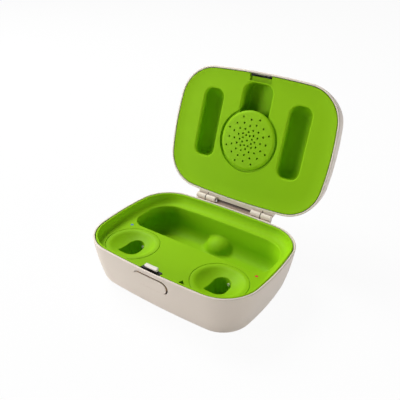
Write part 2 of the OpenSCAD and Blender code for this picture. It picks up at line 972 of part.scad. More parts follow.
module pocket_shape(grow) {
  r = pocket_r + grow;
  w = pocket_w / 2 - pocket_r;
  y = pocket_y + pocket_r;
  for (x = [-w, w])
    translate([x, y])
      circle(r = r);
  translate([-w - r, y])
    square([2 * (w + r), capsule_y - y]);
  translate([-w, y - r])
    square([2 * w, 2 * r]);
}

module lid_liner() {
  edge = liner_out(liner_face);
  back = z_panel + liner_t;
  color(green)
    open_lid()
      difference() {
        union() {
          loft(outline, concat(
            [for (i = [6:-1:1])
              let (u = i / 6)
              [edge + dish_w * u, z_lid + liner_face + dish_d * u * (2 - u)]],
            [for (d = [liner_face, 2.5, 4.5]) [liner_out(d), z_lid + d]],
            [[liner_out(4.5) + 1.2, z_lid + 4.5], [liner_out(4.5) + 1.4, back]]
          ));
          for (x = [-tool_x, tool_x])
            translate([x, tool_y, 0])
              trough(cup_wall);
          post(0, capsule_y, recess_r + cup_wall, z_panel + liner_t / 2, z_panel + seat_depth + cup_wall);
          post(0, capsule_y, bore_r + cup_wall, z_panel + liner_t / 2, z_panel + bore_depth + cup_wall);
          translate([0, 0, z_panel + liner_t / 2])
            linear_extrude(pocket_depth + cup_wall - liner_t / 2)
              pocket_shape(cup_wall);
          translate([0, 0, z_panel + liner_t / 2])
            linear_extrude(scoop_depth + cup_wall - liner_t / 2)
              scoop_shape(cup_wall);
        }
        for (x = [-tool_x, tool_x])
          translate([x, tool_y, 0])
            trough(0);
        post(0, capsule_y, recess_r, z_panel - 2, z_panel + seat_depth);
        post(0, capsule_y, bore_r, z_panel - 2, z_panel + bore_depth);
        difference() {
          union() {
            translate([0, 0, z_panel - 2])
              linear_extrude(pocket_depth + 2)
                pocket_shape(0);
            translate([0, 0, z_panel - 2])
              linear_extrude(scoop_depth + 2)
                scoop_shape(0);
          }
          post(0, capsule_y, cover_r - 4.4, z_panel - 3, z_panel + scoop_depth + 2);
        }
        block(-hook_slot / 2 - 0.8, hook_slot / 2 + 0.8, -half_d, 3.9 - half_d, z_lid - 1, z_lid + 4.2);
        block(-hook_slot / 2 - 0.8, hook_slot / 2 + 0.8, -half_d, 5.85 - half_d, z_lid - 1, z_lid + hook_rise);
      }
}

module catch_plate() {
  wall_y = -half_d + shell_t + lid_in(0.7) + 0.1;
  side_x = hook_w / 2 + move_gap + 0.2;
  color([0.15, 0.15, 0.16])
    open_lid() {
      block(-side_x - 1.8, side_x + 1.8, wall_y + seat_gap, y_hook - 0.3, z_lid + liner_face, z_lid + 0.7);
      for (x = [-side_x - 1.8, side_x])
        block(x, x + 1.8, wall_y + lid_in(4) + seat_gap, y_hook + 0.4, z_lid + liner_face, z_lid + 4);
    }
}

// Drying capsule, drawn about its own axis and then set in the shut lid

module in_capsule() {
  open_lid()
    translate([0, capsule_y, z_panel])
      children();
}

rings = 7;
first_ring = 1.5;
ring_step = (cover_r - hole_margin - first_ring) / rings;

module capsule_cover() {
  seat = seat_depth - seat_gap;
  color(green)
    in_capsule()
      difference() {
        rotate_extrude()
          polygon([
            [0, -0.6], [cover_r * 0.4, -0.5], [cover_r * 0.8, -0.15], [cover_r - 0.7, 0.1],
            [cover_r - 0.2, 0.4], [cover_r, 0.9], [cover_r, seat], [0, seat]
          ]);
        translate([0, 0, -2])
          cylinder(r = hole_r, h = 4, $fn = 24);
        for (k = [1:rings], i = [0:7])
          rotate([0, 0, 45 * i + 22.5 * (k % 2)])
            translate([first_ring + ring_step * k, 0, -2])
              cylinder(r = hole_r, h = 4, $fn = 24);
      }
}

module capsule_cup() {
  r = bore_r - move_gap;
  bottom = seat_depth + cup_h;
  color([0.5, 0.7, 0.12])
    in_capsule()
      rotate_extrude()
        polygon([
          [0, bottom], [r, bottom], [r, seat_depth],
          [r - 1.2, seat_depth], [r - 1.2, bottom - 1.2], [0, bottom - 1.2]
        ]);
}

module desiccant() {
  bottom = seat_depth + cup_h - 1.2;
  color([0.9, 0.6, 0.25])
    in_capsule()
      translate([0, 0, 2])
        cylinder(r = bore_r - move_gap - 1.35, h = bottom - 2 - seat_gap);
}

base_shell();
tray();
left_insert();
right_insert();
left_marker();
right_marker();
left_stud();
right_stud();
left_pin_block();
right_pin_block();
left_pins();
right_pins();
charging_board();
board_chips();
board_screws();
power_socket();
power_cell();
tray_screws();
rubber_mat();
latch_guide();
latch_spring();
latch_button();
latch_hook();
base_hinge();
hinge_pins();
lid_shell();
lid_liner();
lid_hinge();
catch_plate();
capsule_cover();
capsule_cup();
desiccant();
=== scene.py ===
# %% [markdown]
# # A hearing aid charging case, dressed in Blender
#
# The real object is a hard clam-shell case that stands open on a table: champagne-coloured outer shells, a
# lime green tray in the base with two charging inserts and a storage well, and a lime green liner in the
# lid with two tool slots and a perforated drying capsule. The CAD model already has every working piece in
# its place. This lesson loads it as a fixed frame, models the outer pieces again with soft moulded edges,
# and gives every piece a finish.

import cmath
import math

import bmesh
import bpy
from mathutils import Matrix, Vector


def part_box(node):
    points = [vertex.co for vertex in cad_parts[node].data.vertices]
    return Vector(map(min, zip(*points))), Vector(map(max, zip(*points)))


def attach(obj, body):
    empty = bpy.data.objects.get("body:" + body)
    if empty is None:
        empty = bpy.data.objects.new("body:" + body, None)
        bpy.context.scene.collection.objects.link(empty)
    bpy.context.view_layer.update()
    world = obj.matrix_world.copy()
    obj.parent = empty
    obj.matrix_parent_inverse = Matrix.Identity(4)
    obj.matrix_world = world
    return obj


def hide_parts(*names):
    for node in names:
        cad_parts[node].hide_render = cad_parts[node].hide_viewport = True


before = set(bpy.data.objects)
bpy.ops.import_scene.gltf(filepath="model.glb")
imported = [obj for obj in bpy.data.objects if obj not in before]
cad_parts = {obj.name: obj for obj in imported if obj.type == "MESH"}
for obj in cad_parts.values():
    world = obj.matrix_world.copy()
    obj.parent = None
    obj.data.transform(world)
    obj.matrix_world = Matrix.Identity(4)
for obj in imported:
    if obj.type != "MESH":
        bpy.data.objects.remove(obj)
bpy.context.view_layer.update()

# %% [markdown]
# ## Sizes
#
# A moulding that is modelled again has to sit where the CAD piece sits. The levels could be typed in, but
# reading them from the frame keeps the two models together. Lengths are in millimetres, as on a drawing,
# and become metres when a mesh is placed.

# %% Levels read from the frame
MM = 0.001
LID_GAP = 0.3


def span(node):
    """Lowest and highest corner of a CAD node, in millimetres."""
    low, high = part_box(node)
    return low / MM, high / MM


def middle(node):
    """Middle of a CAD node's box, in millimetres."""
    low, high = span(node)
    return (low + high) / 2


base_low, base_high = span("base_shell")
half_w = base_high.x
half_d = -base_low.y
z_floor = base_low.z
z_rim = base_high.z
z_lid = z_rim + LID_GAP
z_deck = span("right_insert")[1].z
insert_c = middle("right_insert")
hinge_c = middle("hinge_pins")
print(f"half width {half_w:.2f}, half depth {half_d:.2f}, rim {z_rim:.2f}, deck {z_deck:.2f}")

# %% [markdown]
# ## The outline of the case
#
# Seen from above the case is a soft rectangle without a straight edge: bowed sides, front and back, and
# four round corners, eight arcs that run into each other without a kink. A bevelled box would give flat
# sides, so the arcs are worked out and sampled. Points in plan are complex numbers, which makes a turn a
# multiplication. An arc is its centre, its radius, the angle where it starts, the angle that it sweeps, and
# its number of flats.

# %% Arcs that run into each other
CORNER_R = 23.4
FRONT_BOW = 1.04
SIDE_BOW = 0.88
SIDE_FLATS = 8
CORNER_FLATS = 18
FRONT_FLATS = 14


def crossing(c0, r0, c1, r1):
    """The crossing of two circles that lies furthest back."""
    gap = abs(c1 - c0)
    along = (r0**2 - r1**2 + gap**2) / (2 * gap)
    off = math.sqrt(r0**2 - along**2)
    turn = (c1 - c0) / gap
    return max((c0 + turn * complex(along, side * off) for side in (-1, 1)), key=lambda p: p.imag)


def bearing(start, end):
    return math.degrees(cmath.phase(end - start))


front_r = ((half_w - CORNER_R) ** 2 + FRONT_BOW**2) / (2 * FRONT_BOW)
side_r = ((half_d - CORNER_R) ** 2 + SIDE_BOW**2) / (2 * SIDE_BOW)
back_c = complex(0, half_d - front_r)
right_c = complex(half_w - side_r, 0)
corner_c = crossing(back_c, front_r - CORNER_R, right_c, side_r - CORNER_R)
side_a = bearing(right_c, corner_c)
back_a = bearing(back_c, corner_c)
corner_a = back_a - side_a
outline = [
    (right_c, side_r, -side_a, 2 * side_a, SIDE_FLATS),
    (corner_c, CORNER_R, side_a, corner_a, CORNER_FLATS),
    (back_c, front_r, back_a, 180 - 2 * back_a, FRONT_FLATS),
    (-corner_c.conjugate(), CORNER_R, 180 - back_a, corner_a, CORNER_FLATS),
    (-right_c, side_r, 180 - side_a, 2 * side_a, SIDE_FLATS),
    (-corner_c, CORNER_R, 180 + side_a, corner_a, CORNER_FLATS),
    (-back_c, front_r, 180 + back_a, 180 - 2 * back_a, FRONT_FLATS),
    (corner_c.conjugate(), CORNER_R, 360 - back_a, corner_a, CORNER_FLATS),
]
print(f"corners turn by {corner_a:.1f} degrees, the front has a radius of {front_r:.0f} mm")

# %% [markdown]
# A path of arcs becomes a ring of points. Moving a ring inwards only takes the same length off every
# radius, which keeps the wall equally thick all the way round.

# %% Points of a path
TOUCH = 0.01


def on_arc(arc, inset, part):
    centre, radius, start, sweep, _ = arc
    return centre + cmath.rect(radius - inset, math.radians(start + sweep * part))


def ring(path, inset=0.0):
    """The points of a path moved inwards. An arc that stops short of the next one also gives its end."""
    points = []
    for arc, follower in zip(path, path[1:] + path[:1]):
        short = abs(on_arc(arc, 0, 1) - on_arc(follower, 0, 0)) > TOUCH
        points += [on_arc(arc, inset, i / arc[4]) for i in range(arc[4] + short)]
    return points


def rounded(x0, x1, y0, y1, r, flats=8):
    """A rounded rectangle as a path of four arcs."""
    corners = ((x1 - r, y1 - r), (x0 + r, y1 - r), (x0 + r, y0 + r), (x1 - r, y0 + r))
    return [(complex(*c), r, 90 * k, 90, flats) for k, c in enumerate(corners)]


def level(points, z):
    """Plan points laid at a height."""
    return [(p.real, p.imag, z) for p in points]


def upright(points, y):
    """Points drawn on the front of the case, at a depth."""
    return [(p.real, y, p.imag) for p in points]


def swept(path, section):
    """A ring of the path for each inset and height of a section."""
    return [level(ring(path, inset), z) for inset, z in section]


print("outline of", len(ring(outline)), "points")

# %% [markdown]
# ## Moulding by extruding a ring
#
# A moulded shell is a section carried around an outline. By hand one would add a filled circle, extrude it,
# move the new ring, and so on from the underside over the rim to the inner floor. The same is done here:
# each point of the first circle gets a number, extruding copies the number, and each new ring is set down
# where the drawing wants its numbered points. The filled first and last rings close the solid.

# %% A helper that extrudes from ring to ring


def only(piece):
    """Selects one piece and nothing else."""
    bpy.ops.object.select_all(action="DESELECT")
    piece.select_set(True)
    bpy.context.view_layer.objects.active = piece


def lofted(name, rings):
    """A closed solid: a filled circle extruded from ring to ring. Rings are in millimetres."""
    bpy.ops.mesh.primitive_circle_add(vertices=len(rings[0]), fill_type="NGON", location=(0, 0, 0))
    piece = bpy.context.object
    piece.name = piece.data.name = name
    numbers = piece.data.attributes.new("station", "INT", "POINT")
    numbers.data.foreach_set("value", range(len(rings[0])))
    bpy.ops.object.mode_set(mode="EDIT")
    bpy.ops.mesh.select_all(action="SELECT")
    for k, points in enumerate(rings):
        if k:
            bpy.ops.mesh.extrude_region_move()
        mesh = bmesh.from_edit_mesh(piece.data)
        station = mesh.verts.layers.int["station"]
        for vert in mesh.verts:
            if vert.select:
                vert.co = Vector(points[vert[station]]) * MM
        bmesh.update_edit_mesh(piece.data)
    bpy.ops.mesh.select_all(action="SELECT")
    bpy.ops.mesh.normals_make_consistent(inside=False)
    bpy.ops.object.mode_set(mode="OBJECT")
    piece.data.attributes.remove(piece.data.attributes["station"])
    return piece


print("rings can be extruded")

# %% [markdown]
# Openings, ribs and housings are made with a second solid and a Boolean modifier. A cutter reaches a little
# past the surface that it opens, so that no two faces lie in one plane.

# %% Helpers that cut and join
REACH = 1


def modified(piece, kind, **settings):
    """Gives a piece a modifier, sets it up and applies it."""
    only(piece)
    bpy.ops.object.modifier_add(type=kind)
    step = piece.modifiers[-1]
    for name, value in settings.items():
        setattr(step, name, value)
    bpy.ops.object.modifier_apply(modifier=step.name)


def cut(piece, cutter, operation="DIFFERENCE"):
    """Cuts a piece with another one, or joins the two, and removes the cutter."""
    modified(piece, "BOOLEAN", operation=operation, solver="EXACT", object=cutter)
    bpy.data.objects.remove(cutter)


def block(x0, x1, y0, y1, z0, z1):
    """A rectangular solid between two corners."""
    size = Vector((x1 - x0, y1 - y0, z1 - z0)) * MM
    place = Vector((x0 + x1, y0 + y1, z0 + z1)) * MM / 2
    bpy.ops.mesh.primitive_cube_add(size=1, location=place, scale=size)
    bpy.ops.object.transform_apply()
    return bpy.context.object


def post(x, y, r, z0, z1, flats=32):
    """A round upright solid."""
    place = Vector((x, y, (z0 + z1) / 2)) * MM
    bpy.ops.mesh.primitive_cylinder_add(vertices=flats, radius=r * MM, depth=(z1 - z0) * MM, location=place)
    bpy.ops.object.transform_apply()
    return bpy.context.object


print("solids can be cut and joined")

# %% [markdown]
# ## Finishing a piece
#
# Moulded plastic shows long smooth highlights with crisp edges only where two surfaces really meet.
# Smoothing by angle keeps those edges, and weighted normals keep the large flat areas flat beside the small
# rounds. Each finished piece then takes its material and the body it moves with, and the CAD node it stands
# for is hidden.

# %% A helper that finishes a piece
SMOOTH_ANGLE = 38


def finished(piece, body, node, material):
    only(piece)
    bpy.ops.object.shade_smooth_by_angle(angle=math.radians(SMOOTH_ANGLE))
    modified(piece, "WEIGHTED_NORMAL", keep_sharp=True)
    piece.data.materials.clear()
    piece.data.materials.append(material)
    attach(piece, body)
    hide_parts(node)
    print(piece.name, len(piece.data.polygons), "faces, rides on", body)


print("edges stay sharp above", SMOOTH_ANGLE, "degrees")

# %% [markdown]
# ## Materials
#
# Shader maths is easiest to read as a sum. The small class below wraps a socket, so that adding,
# multiplying or comparing two of them adds the Math nodes, and any other node comes from one method.

# %% A socket that can be used in sums


class Signal:
    """One socket in a node tree. Sums of signals add Math nodes."""

    def __init__(self, socket):
        self.socket = socket
        self.tree = socket.id_data

    def node(self, kind, settings, sockets, out=0):
        """Adds a node, sets it up, feeds its sockets, and gives back one of its outputs."""
        made = self.tree.nodes.new(kind)
        for name, value in settings.items():
            setattr(made, name, value)
        for name, value in sockets.items():
            if isinstance(value, Signal):
                self.tree.links.new(value.socket, made.inputs[name])
            else:
                made.inputs[name].default_value = value
        return Signal(made.outputs[out])

    def maths(self, operation, a, b=0.0):
        return self.node("ShaderNodeMath", {"operation": operation}, {0: a, 1: b})

    def __add__(self, other):
        return self.maths("ADD", self, other)

    __radd__ = __add__

    def __sub__(self, other):
        return self.maths("SUBTRACT", self, other)

    def __rsub__(self, other):
        return self.maths("SUBTRACT", other, self)

    def __mul__(self, other):
        return self.maths("MULTIPLY", self, other)

    __rmul__ = __mul__

    def __lt__(self, other):
        return self.maths("LESS_THAN", self, other)

    def __gt__(self, other):
        return self.maths("GREATER_THAN", self, other)

    def __abs__(self):
        return self.maths("ABSOLUTE", self)

    def either(self, other):
        return self.maths("MAXIMUM", self, other)

    def axes(self):
        """The three coordinates of a place."""
        first = self.node("ShaderNodeSeparateXYZ", {}, {"Vector": self})
        return [Signal(socket) for socket in first.socket.node.outputs]

    def noise(self, scale, detail=3.0, roughness=0.5):
        """Cloudy noise from 0 to 1, read at this place."""
        sockets = {"Vector": self, "Scale": scale, "Detail": detail, "Roughness": roughness}
        return self.node("ShaderNodeTexNoise", {}, sockets)

    def mixed(self, dark, light):
        """A colour between two, by this signal. Each of the two is a colour or a signal."""
        ends = [end if isinstance(end, Signal) else (*end, 1) for end in (dark, light)]
        return self.node("ShaderNodeMix", {"data_type": "RGBA"}, {0: self, 6: ends[0], 7: ends[1]}, out=2)


print("sockets can be added, multiplied and compared")

# %% [markdown]
# Every material starts as a principled shader with its constants set on the sockets, and reads the Object
# coordinates, so that its pattern stays on the piece when the piece moves.

# %% A new material


def new_material(name, **constants):
    """A principled material. Gives back the material, its shader and the Object coordinates."""
    made = bpy.data.materials.new(name)
    made.use_nodes = True
    shader = made.node_tree.nodes["Principled BSDF"]
    for socket, value in constants.items():
        shader.inputs[socket.replace("_", " ")].default_value = value
    place = Signal(made.node_tree.nodes.new("ShaderNodeTexCoord").outputs["Object"])
    return made, shader, place


def feed(shader, socket, signal):
    shader.id_data.links.new(signal.socket, shader.inputs[socket])


def shade_of(colour, share):
    return tuple(c * share for c in colour)


print("materials can be mixed")

# %% [markdown]
# ### Moulded plastics
#
# All the plastics leave the mould with a fine spark-eroded grain: a satin surface whose tiny pits break up
# the reflection. A soft cloud in the colour keeps large faces from looking painted on, a second one varies
# the gloss a little where hands have polished it, and fine noise through a Bump node is the grain. Noise
# scales count cells to the metre.

# %% Satin plastic
CLOUDS = 55
POLISH = 120
PITS = 4200


def moulded(name, colour, gloss, grain=0.3, depth=0.000012, spread=0.05, marks=None, **constants):
    """Satin plastic with a fine grain. Gloss is the roughness, and marks of painted shade may change the
    colour.
    """
    made, shader, place = new_material(name, **constants)
    tone = place.noise(CLOUDS, 4).mixed(shade_of(colour, 1 - spread), shade_of(colour, 1 + spread))
    feed(shader, "Base Color", marks(place, tone) if marks else tone)
    feed(shader, "Roughness", gloss - 0.05 + 0.1 * place.noise(POLISH, 3))
    pits = place.noise(PITS, 2, 0.6)
    bump = place.node("ShaderNodeBump", {}, {"Strength": grain, "Distance": depth, "Height": pits})
    feed(shader, "Normal", bump)
    return made


LIME = (0.27, 0.54, 0.006)
lime = moulded("lime_satin", LIME, 0.55, spread=0.03, Specular_IOR_Level=0.06)
lime_insert = moulded("lime_insert_satin", LIME, 0.5, spread=0.03, Specular_IOR_Level=0.08)
stud = moulded("stud_plastic", (0.7, 0.68, 0.62), 0.35, spread=0.04)
black = moulded("black_plastic", (0.012, 0.012, 0.012), 0.7, spread=0.15, Specular_IOR_Level=0.15)
grey = moulded("grey_plastic", (0.3, 0.3, 0.29), 0.5, spread=0.06)
blue = moulded("left_dot_blue", (0.05, 0.13, 0.5), 0.4, spread=0.06)
red = moulded("right_dot_red", (0.6, 0.03, 0.015), 0.4, spread=0.06)
rubber = moulded("mat_rubber", (0.03, 0.03, 0.03), 0.8, grain=0.6, depth=0.00003, spread=0.2)
print("plastics:", [m.name for m in (lime, lime_insert, stud, black, grey, blue, red, rubber)])

# %% [markdown]
# ### Lacquer, and painted shade beside it
#
# The shells are lacquered in champagne after they are moulded. The hinge's brown ledge, the dark gutter
# behind it, the dark line between its knuckles and the brown groove beside the push button are painted
# shade: the one moulding changes colour by place where shade falls under the lid's hinge strip and in the
# gaps.

# %% Painted shade on the hinge
# painted shade: a brown ledge under the lid's hinge strip, a dark gutter, and dark knuckle seams
LEDGE_SHADE = (0.36, 0.27, 0.2)
DEEP_SHADE = (0.06, 0.035, 0.02)
KNUCKLE_SEAM = 20.6
SEAM_HALF = 0.3
KNUCKLE_END = 13.4
GUTTER_END = KNUCKLE_END - 0.1
GUTTER_FRONT = 1.25
GUTTER_BACK = 2.1
LEDGE_DROP = 1.4


def seam(x):
    """1 along the line between two knuckles, else 0."""
    return abs(abs(x) - KNUCKLE_SEAM * MM) < SEAM_HALF * MM


def painted_hinge_shade(place, tone):
    """The base's hinge leaf with painted shade: a brown ledge, a dark gutter behind it, and dark seams."""
    x, y, z = place.axes()
    between = abs(x) < GUTTER_END * MM
    ledge = between * (z < (hinge_c.z - LEDGE_DROP) * MM)
    inside = (y > (hinge_c.y + GUTTER_FRONT) * MM) * (y < (hinge_c.y + GUTTER_BACK) * MM)
    dark = seam(x).either(between * inside)
    return dark.mixed(ledge.mixed(tone, LEDGE_SHADE), DEEP_SHADE)


def painted_seam_shade(place, tone):
    """The lid's hinge leaf has only the painted shade in its seams."""
    return seam(place.axes()[0]).mixed(tone, DEEP_SHADE)


print("hinge marks at", KNUCKLE_SEAM, "mm to either side")

# %% [markdown]
# The push button's front follows the front of the base, which leans in and bellies below the rim and is
# bowed from side to side. Whatever lies deeper than that surface is the side of the button, painted brown
# as the shade in its gap.

# %% Lacquered finishes
BEIGE = (0.74, 0.65, 0.56)
# the brown of painted shade in the button's gap
GAP_SHADE = (0.44, 0.28, 0.18)
SKIN = 0.3
BASE_SLOPE = (0.0945, 0.0038)


def come_in(d, slope):
    """How far a shell's wall has come in at a distance from its rim. A slope is a lean and a belly."""
    lean, belly = slope
    return d * (lean + belly * d)


def painted_gap_shade(place, tone):
    """Painted shade on whatever lies behind the front of the case."""
    x, y, z = place.axes()
    lean, belly = BASE_SLOPE
    bowed = x * x * (0.5 / (front_r * MM)) - half_d * MM
    front = bowed + come_in(z_rim * MM - z, (lean, belly / MM))
    return (y - front > SKIN * MM).mixed(tone, GAP_SHADE)


def lacquered(name, marks=None):
    return moulded(name, BEIGE, 0.42, spread=0.025, marks=marks, Specular_IOR_Level=0.4)


champagne = lacquered("champagne_satin")
hinge_base = lacquered("hinge_satin", painted_hinge_shade)
hinge_lid = lacquered("hinge_satin_lid", painted_seam_shade)
button_satin = lacquered("button_satin", painted_gap_shade)
print("lacquers:", [m.name for m in (champagne, hinge_base, hinge_lid, button_satin)])

# %% [markdown]
# The hook has a pale cap on its tip and is black below it, which is painted shade from its slot. The border
# is a height.

# %% Pale cap over painted shade
# painted shade on the hook's lower part
SLOT_SHADE = (0.012, 0.011, 0.01)
PALE = (0.8, 0.74, 0.68)
CAP_H = 1.9


def capped(name, dark, light, edge):
    """A light cap above a height in millimetres, with painted shade in the dark colour below it."""
    made, shader, place = new_material(name, Roughness=0.45, Specular_IOR_Level=0.3)
    height = place.axes()[2]
    tone = place.noise(300, 3).mixed(shade_of(light, 0.95), light)
    feed(shader, "Base Color", (height > edge * MM).mixed(dark, tone))
    return made


cap_edge = span("latch_hook")[1].z - CAP_H
hook_cap = capped("hook_black_with_pale_cap", SLOT_SHADE, PALE, cap_edge)
print(f"hook is pale above {cap_edge:.2f} mm")

# %% [markdown]
# ### Metal, board and drying beads
#
# The steel parts are drawn or stamped, so their gloss runs in faint streaks along one axis, which a
# stretched noise gives. The contacts are gold plated. The board is green laminate with a woven core. The
# drying filling is a bed of orange beads, which Voronoi cells draw as round bumps.

# %% Metal, board and bead finishes
ALONG_X = (60, 900, 900)
ALONG_Y = (900, 60, 900)
WEAVE = 1400.0
BEADS = 620.0


def metal(name, colour, gloss, streak=ALONG_Y):
    made, shader, place = new_material(name, Metallic=1.0)
    drawn = place.node("ShaderNodeMapping", {}, {"Vector": place, "Scale": streak}).noise(1, 3)
    feed(shader, "Base Color", drawn.mixed(shade_of(colour, 0.88), colour))
    feed(shader, "Roughness", gloss - 0.08 + 0.16 * drawn)
    return made


def laminate(name, colour):
    made, shader, place = new_material(name)
    weave = place.node("ShaderNodeTexChecker", {}, {"Vector": place, "Scale": WEAVE}, out=1)
    core = 0.35 * weave + 0.65 * place.noise(90, 3)
    feed(shader, "Base Color", core.mixed(shade_of(colour, 0.7), colour))
    feed(shader, "Roughness", 0.28 + 0.12 * place.noise(200, 2))
    return made


def beads(name, dark, light):
    made, shader, place = new_material(name, Coat_Weight=0.1)
    cell = place.node("ShaderNodeTexVoronoi", {}, {"Vector": place, "Scale": BEADS})
    feed(shader, "Base Color", (1 - 1.4 * cell).mixed(dark, light))
    feed(shader, "Roughness", 0.3 + 0.3 * cell)
    bump = place.node("ShaderNodeBump", {}, {"Strength": 0.8, "Distance": 0.0005, "Height": 1 - cell})
    feed(shader, "Normal", bump)
    return made


steel = metal("plain_steel", (0.62, 0.62, 0.63), 0.32)
gold = metal("gold_contact", (0.83, 0.6, 0.22), 0.25)
can = metal("cell_can", (0.72, 0.73, 0.74), 0.4, ALONG_X)
board = laminate("board_laminate", (0.03, 0.16, 0.07))
drying = beads("desiccant_beads", (0.35, 0.1, 0.02), (0.85, 0.38, 0.08))
print("metals and fillings:", [m.name for m in (steel, gold, can, board, drying)])

# %% [markdown]
# ## The two outer shells
#
# Each shell is a thin bowl whose wall leans in and bellies towards the floor. The rim is not a knife edge:
# the mould gives it a round outside, which catches a long bright line in the photograph, and a smaller one
# inside. The wall is thinner at the rim, where the tray and the liner tuck under it.

# %% Section of a shell
SHELL_T = 1.6
RIM_T = 1.15
RIM_ROUND = 0.5
RIM_EASE = 0.25
THIN_TO = 2.6
FULL_FROM = 3
TURN_STEPS = 10
WALL_STEPS = 9
TURN_SHARE = 0.73


def arc_steps(count, start=0, end=90):
    """Angles from one to another, both given in degrees, as radians."""
    return [math.radians(start + (end - start) * i / count) for i in range(count + 1)]


def quarter(x, y, across, along, steps, start=0, end=90):
    """Points of a turn about a centre, with a signed radius along either axis."""
    return [(x + across * math.cos(g), y + along * math.sin(g)) for g in arc_steps(steps, start, end)]


def shell_wall(height, slope, round_r):
    """Inset and depth below the rim, from the outer floor over the rim to the inner floor."""

    def leaning(d):
        return come_in(d, slope)

    lean, belly = slope
    bend = math.atan(lean + 2 * belly * (height - TURN_SHARE * round_r))
    end = height - round_r * (1 - math.sin(bend))
    centre = leaning(end) + round_r * math.cos(bend)
    low = height - round_r
    foot = math.degrees(bend)
    stops = [RIM_ROUND + (end - RIM_ROUND) * i / WALL_STEPS for i in range(WALL_STEPS + 1)]
    wall = quarter(centre, low, -round_r, round_r, TURN_STEPS, foot)[:0:-1]
    wall += [(leaning(d), d) for d in stops[::-1]]
    wall += quarter(leaning(RIM_ROUND) + RIM_ROUND, RIM_ROUND, -RIM_ROUND, -RIM_ROUND, 6)[1:]
    wall += quarter(RIM_T - RIM_EASE, RIM_EASE, RIM_EASE, -RIM_EASE, 4, 90, 0)
    wall += [(leaning(THIN_TO) + RIM_T, THIN_TO), (leaning(FULL_FROM) + SHELL_T, FULL_FROM)]
    wall += [(leaning(d) + SHELL_T, d) for d in stops[2:]]
    inner_r = round_r - SHELL_T
    return wall + quarter(centre, low, -inner_r, inner_r, TURN_STEPS, foot)[1:]


print("a shell is", SHELL_T, "mm thick and", RIM_T, "mm at its rim")

# %% [markdown]
# The base is cut for the mat under it and the screws that it hides, the push button in the front wall, the
# hook's slot in the rim and the power socket in the back. In the photograph the button's gap shows as a
# brown line along its top and down its right end only, so the opening is tight on the left and below.

# %% Base shell
PLAY = 0.15
BASE_ROUND = 5.5
MAT_R = 11
MAT_DEEP = 0.5
BUTTON_TIGHT = 0.06
BUTTON_GAP_RIGHT = 1.3
BUTTON_GAP_ABOVE = 1.0
HOOK_SLOT = 6.8
SCREW_IN = 12
SCREW_Y = -6
SCREW_R = 2

base_wall = shell_wall(z_rim - z_floor, BASE_SLOPE, BASE_ROUND)
base = lofted("base_shell_moulding", [level(ring(outline, i), z_rim - d) for i, d in base_wall])
low, high = span("rubber_mat")
mat_path = rounded(low.x - PLAY, high.x + PLAY, low.y - PLAY, high.y + PLAY, MAT_R + PLAY)
cut(base, lofted("mat_recess", [level(ring(mat_path), z) for z in (z_floor - REACH, z_floor + MAT_DEEP)]))

button_low, button_high = span("latch_button")
button_path = rounded(
    button_low.x - BUTTON_TIGHT,
    button_high.x + BUTTON_GAP_RIGHT,
    button_low.z - BUTTON_TIGHT,
    button_high.z + BUTTON_GAP_ABOVE,
    4.3,
)
cut(base, lofted("button_opening", [upright(ring(button_path), y) for y in (-half_d - REACH, -half_d + 8)]))
cut(base, block(-HOOK_SLOT, HOOK_SLOT, -half_d + 0.8, -half_d + 4, z_rim - 1, z_rim + REACH))

for side in (-1, 1):
    cut(base, post(side * (half_w - SCREW_IN), SCREW_Y, SCREW_R, z_floor - REACH, z_floor + 1.65))

low, high = span("power_socket")
socket_path = rounded(low.x - 0.35, high.x + 0.35, low.z - 0.2, high.z + 0.35, 1)
cut(base, lofted("socket_opening", [upright(ring(socket_path), y) for y in (half_d - 9, half_d)]))
finished(base, "base", "base_shell", champagne)

# %% [markdown]
# The lid is drawn shut, where its sizes are easy to read, and is then turned open about the hinge. The turn
# is applied, so that its place ends up in the mesh.

# %% Lid shell
LID_OPEN = 108
LID_H = 18.68
LID_ROUND = 4.6
LID_SLOPE = (0.088, 0.0057)
swing = (
    Matrix.Translation(Vector((0, hinge_c.y, hinge_c.z)) * MM)
    @ Matrix.Rotation(math.radians(-LID_OPEN), 4, "X")
    @ Matrix.Translation(Vector((0, -hinge_c.y, -hinge_c.z)) * MM)
)


def opened(piece):
    """Turns a piece that was drawn on the shut lid to the open lid."""
    only(piece)
    piece.matrix_world = swing
    bpy.ops.object.transform_apply()
    return piece


lid_wall = shell_wall(LID_H, LID_SLOPE, LID_ROUND)
lid = lofted("lid_shell_moulding", [level(ring(outline, i), z_lid + d) for i, d in lid_wall[::-1]])
finished(opened(lid), "lid", "lid_shell", champagne)

# %% [markdown]
# ## The tray
#
# The tray drops into the base. Its rim stands just below the shell's, its wall runs down to a sunk deck
# through a cove that is small in front and large at the back, and the storage well hangs from the deck like
# a bath. A soft rise in the well's back wall clears the power socket. The well could be cut as a box and
# bevelled, but its floor rolls up into its walls on a large radius, so it is drawn ring by ring as well,
# with the rise pushed up into the rings.

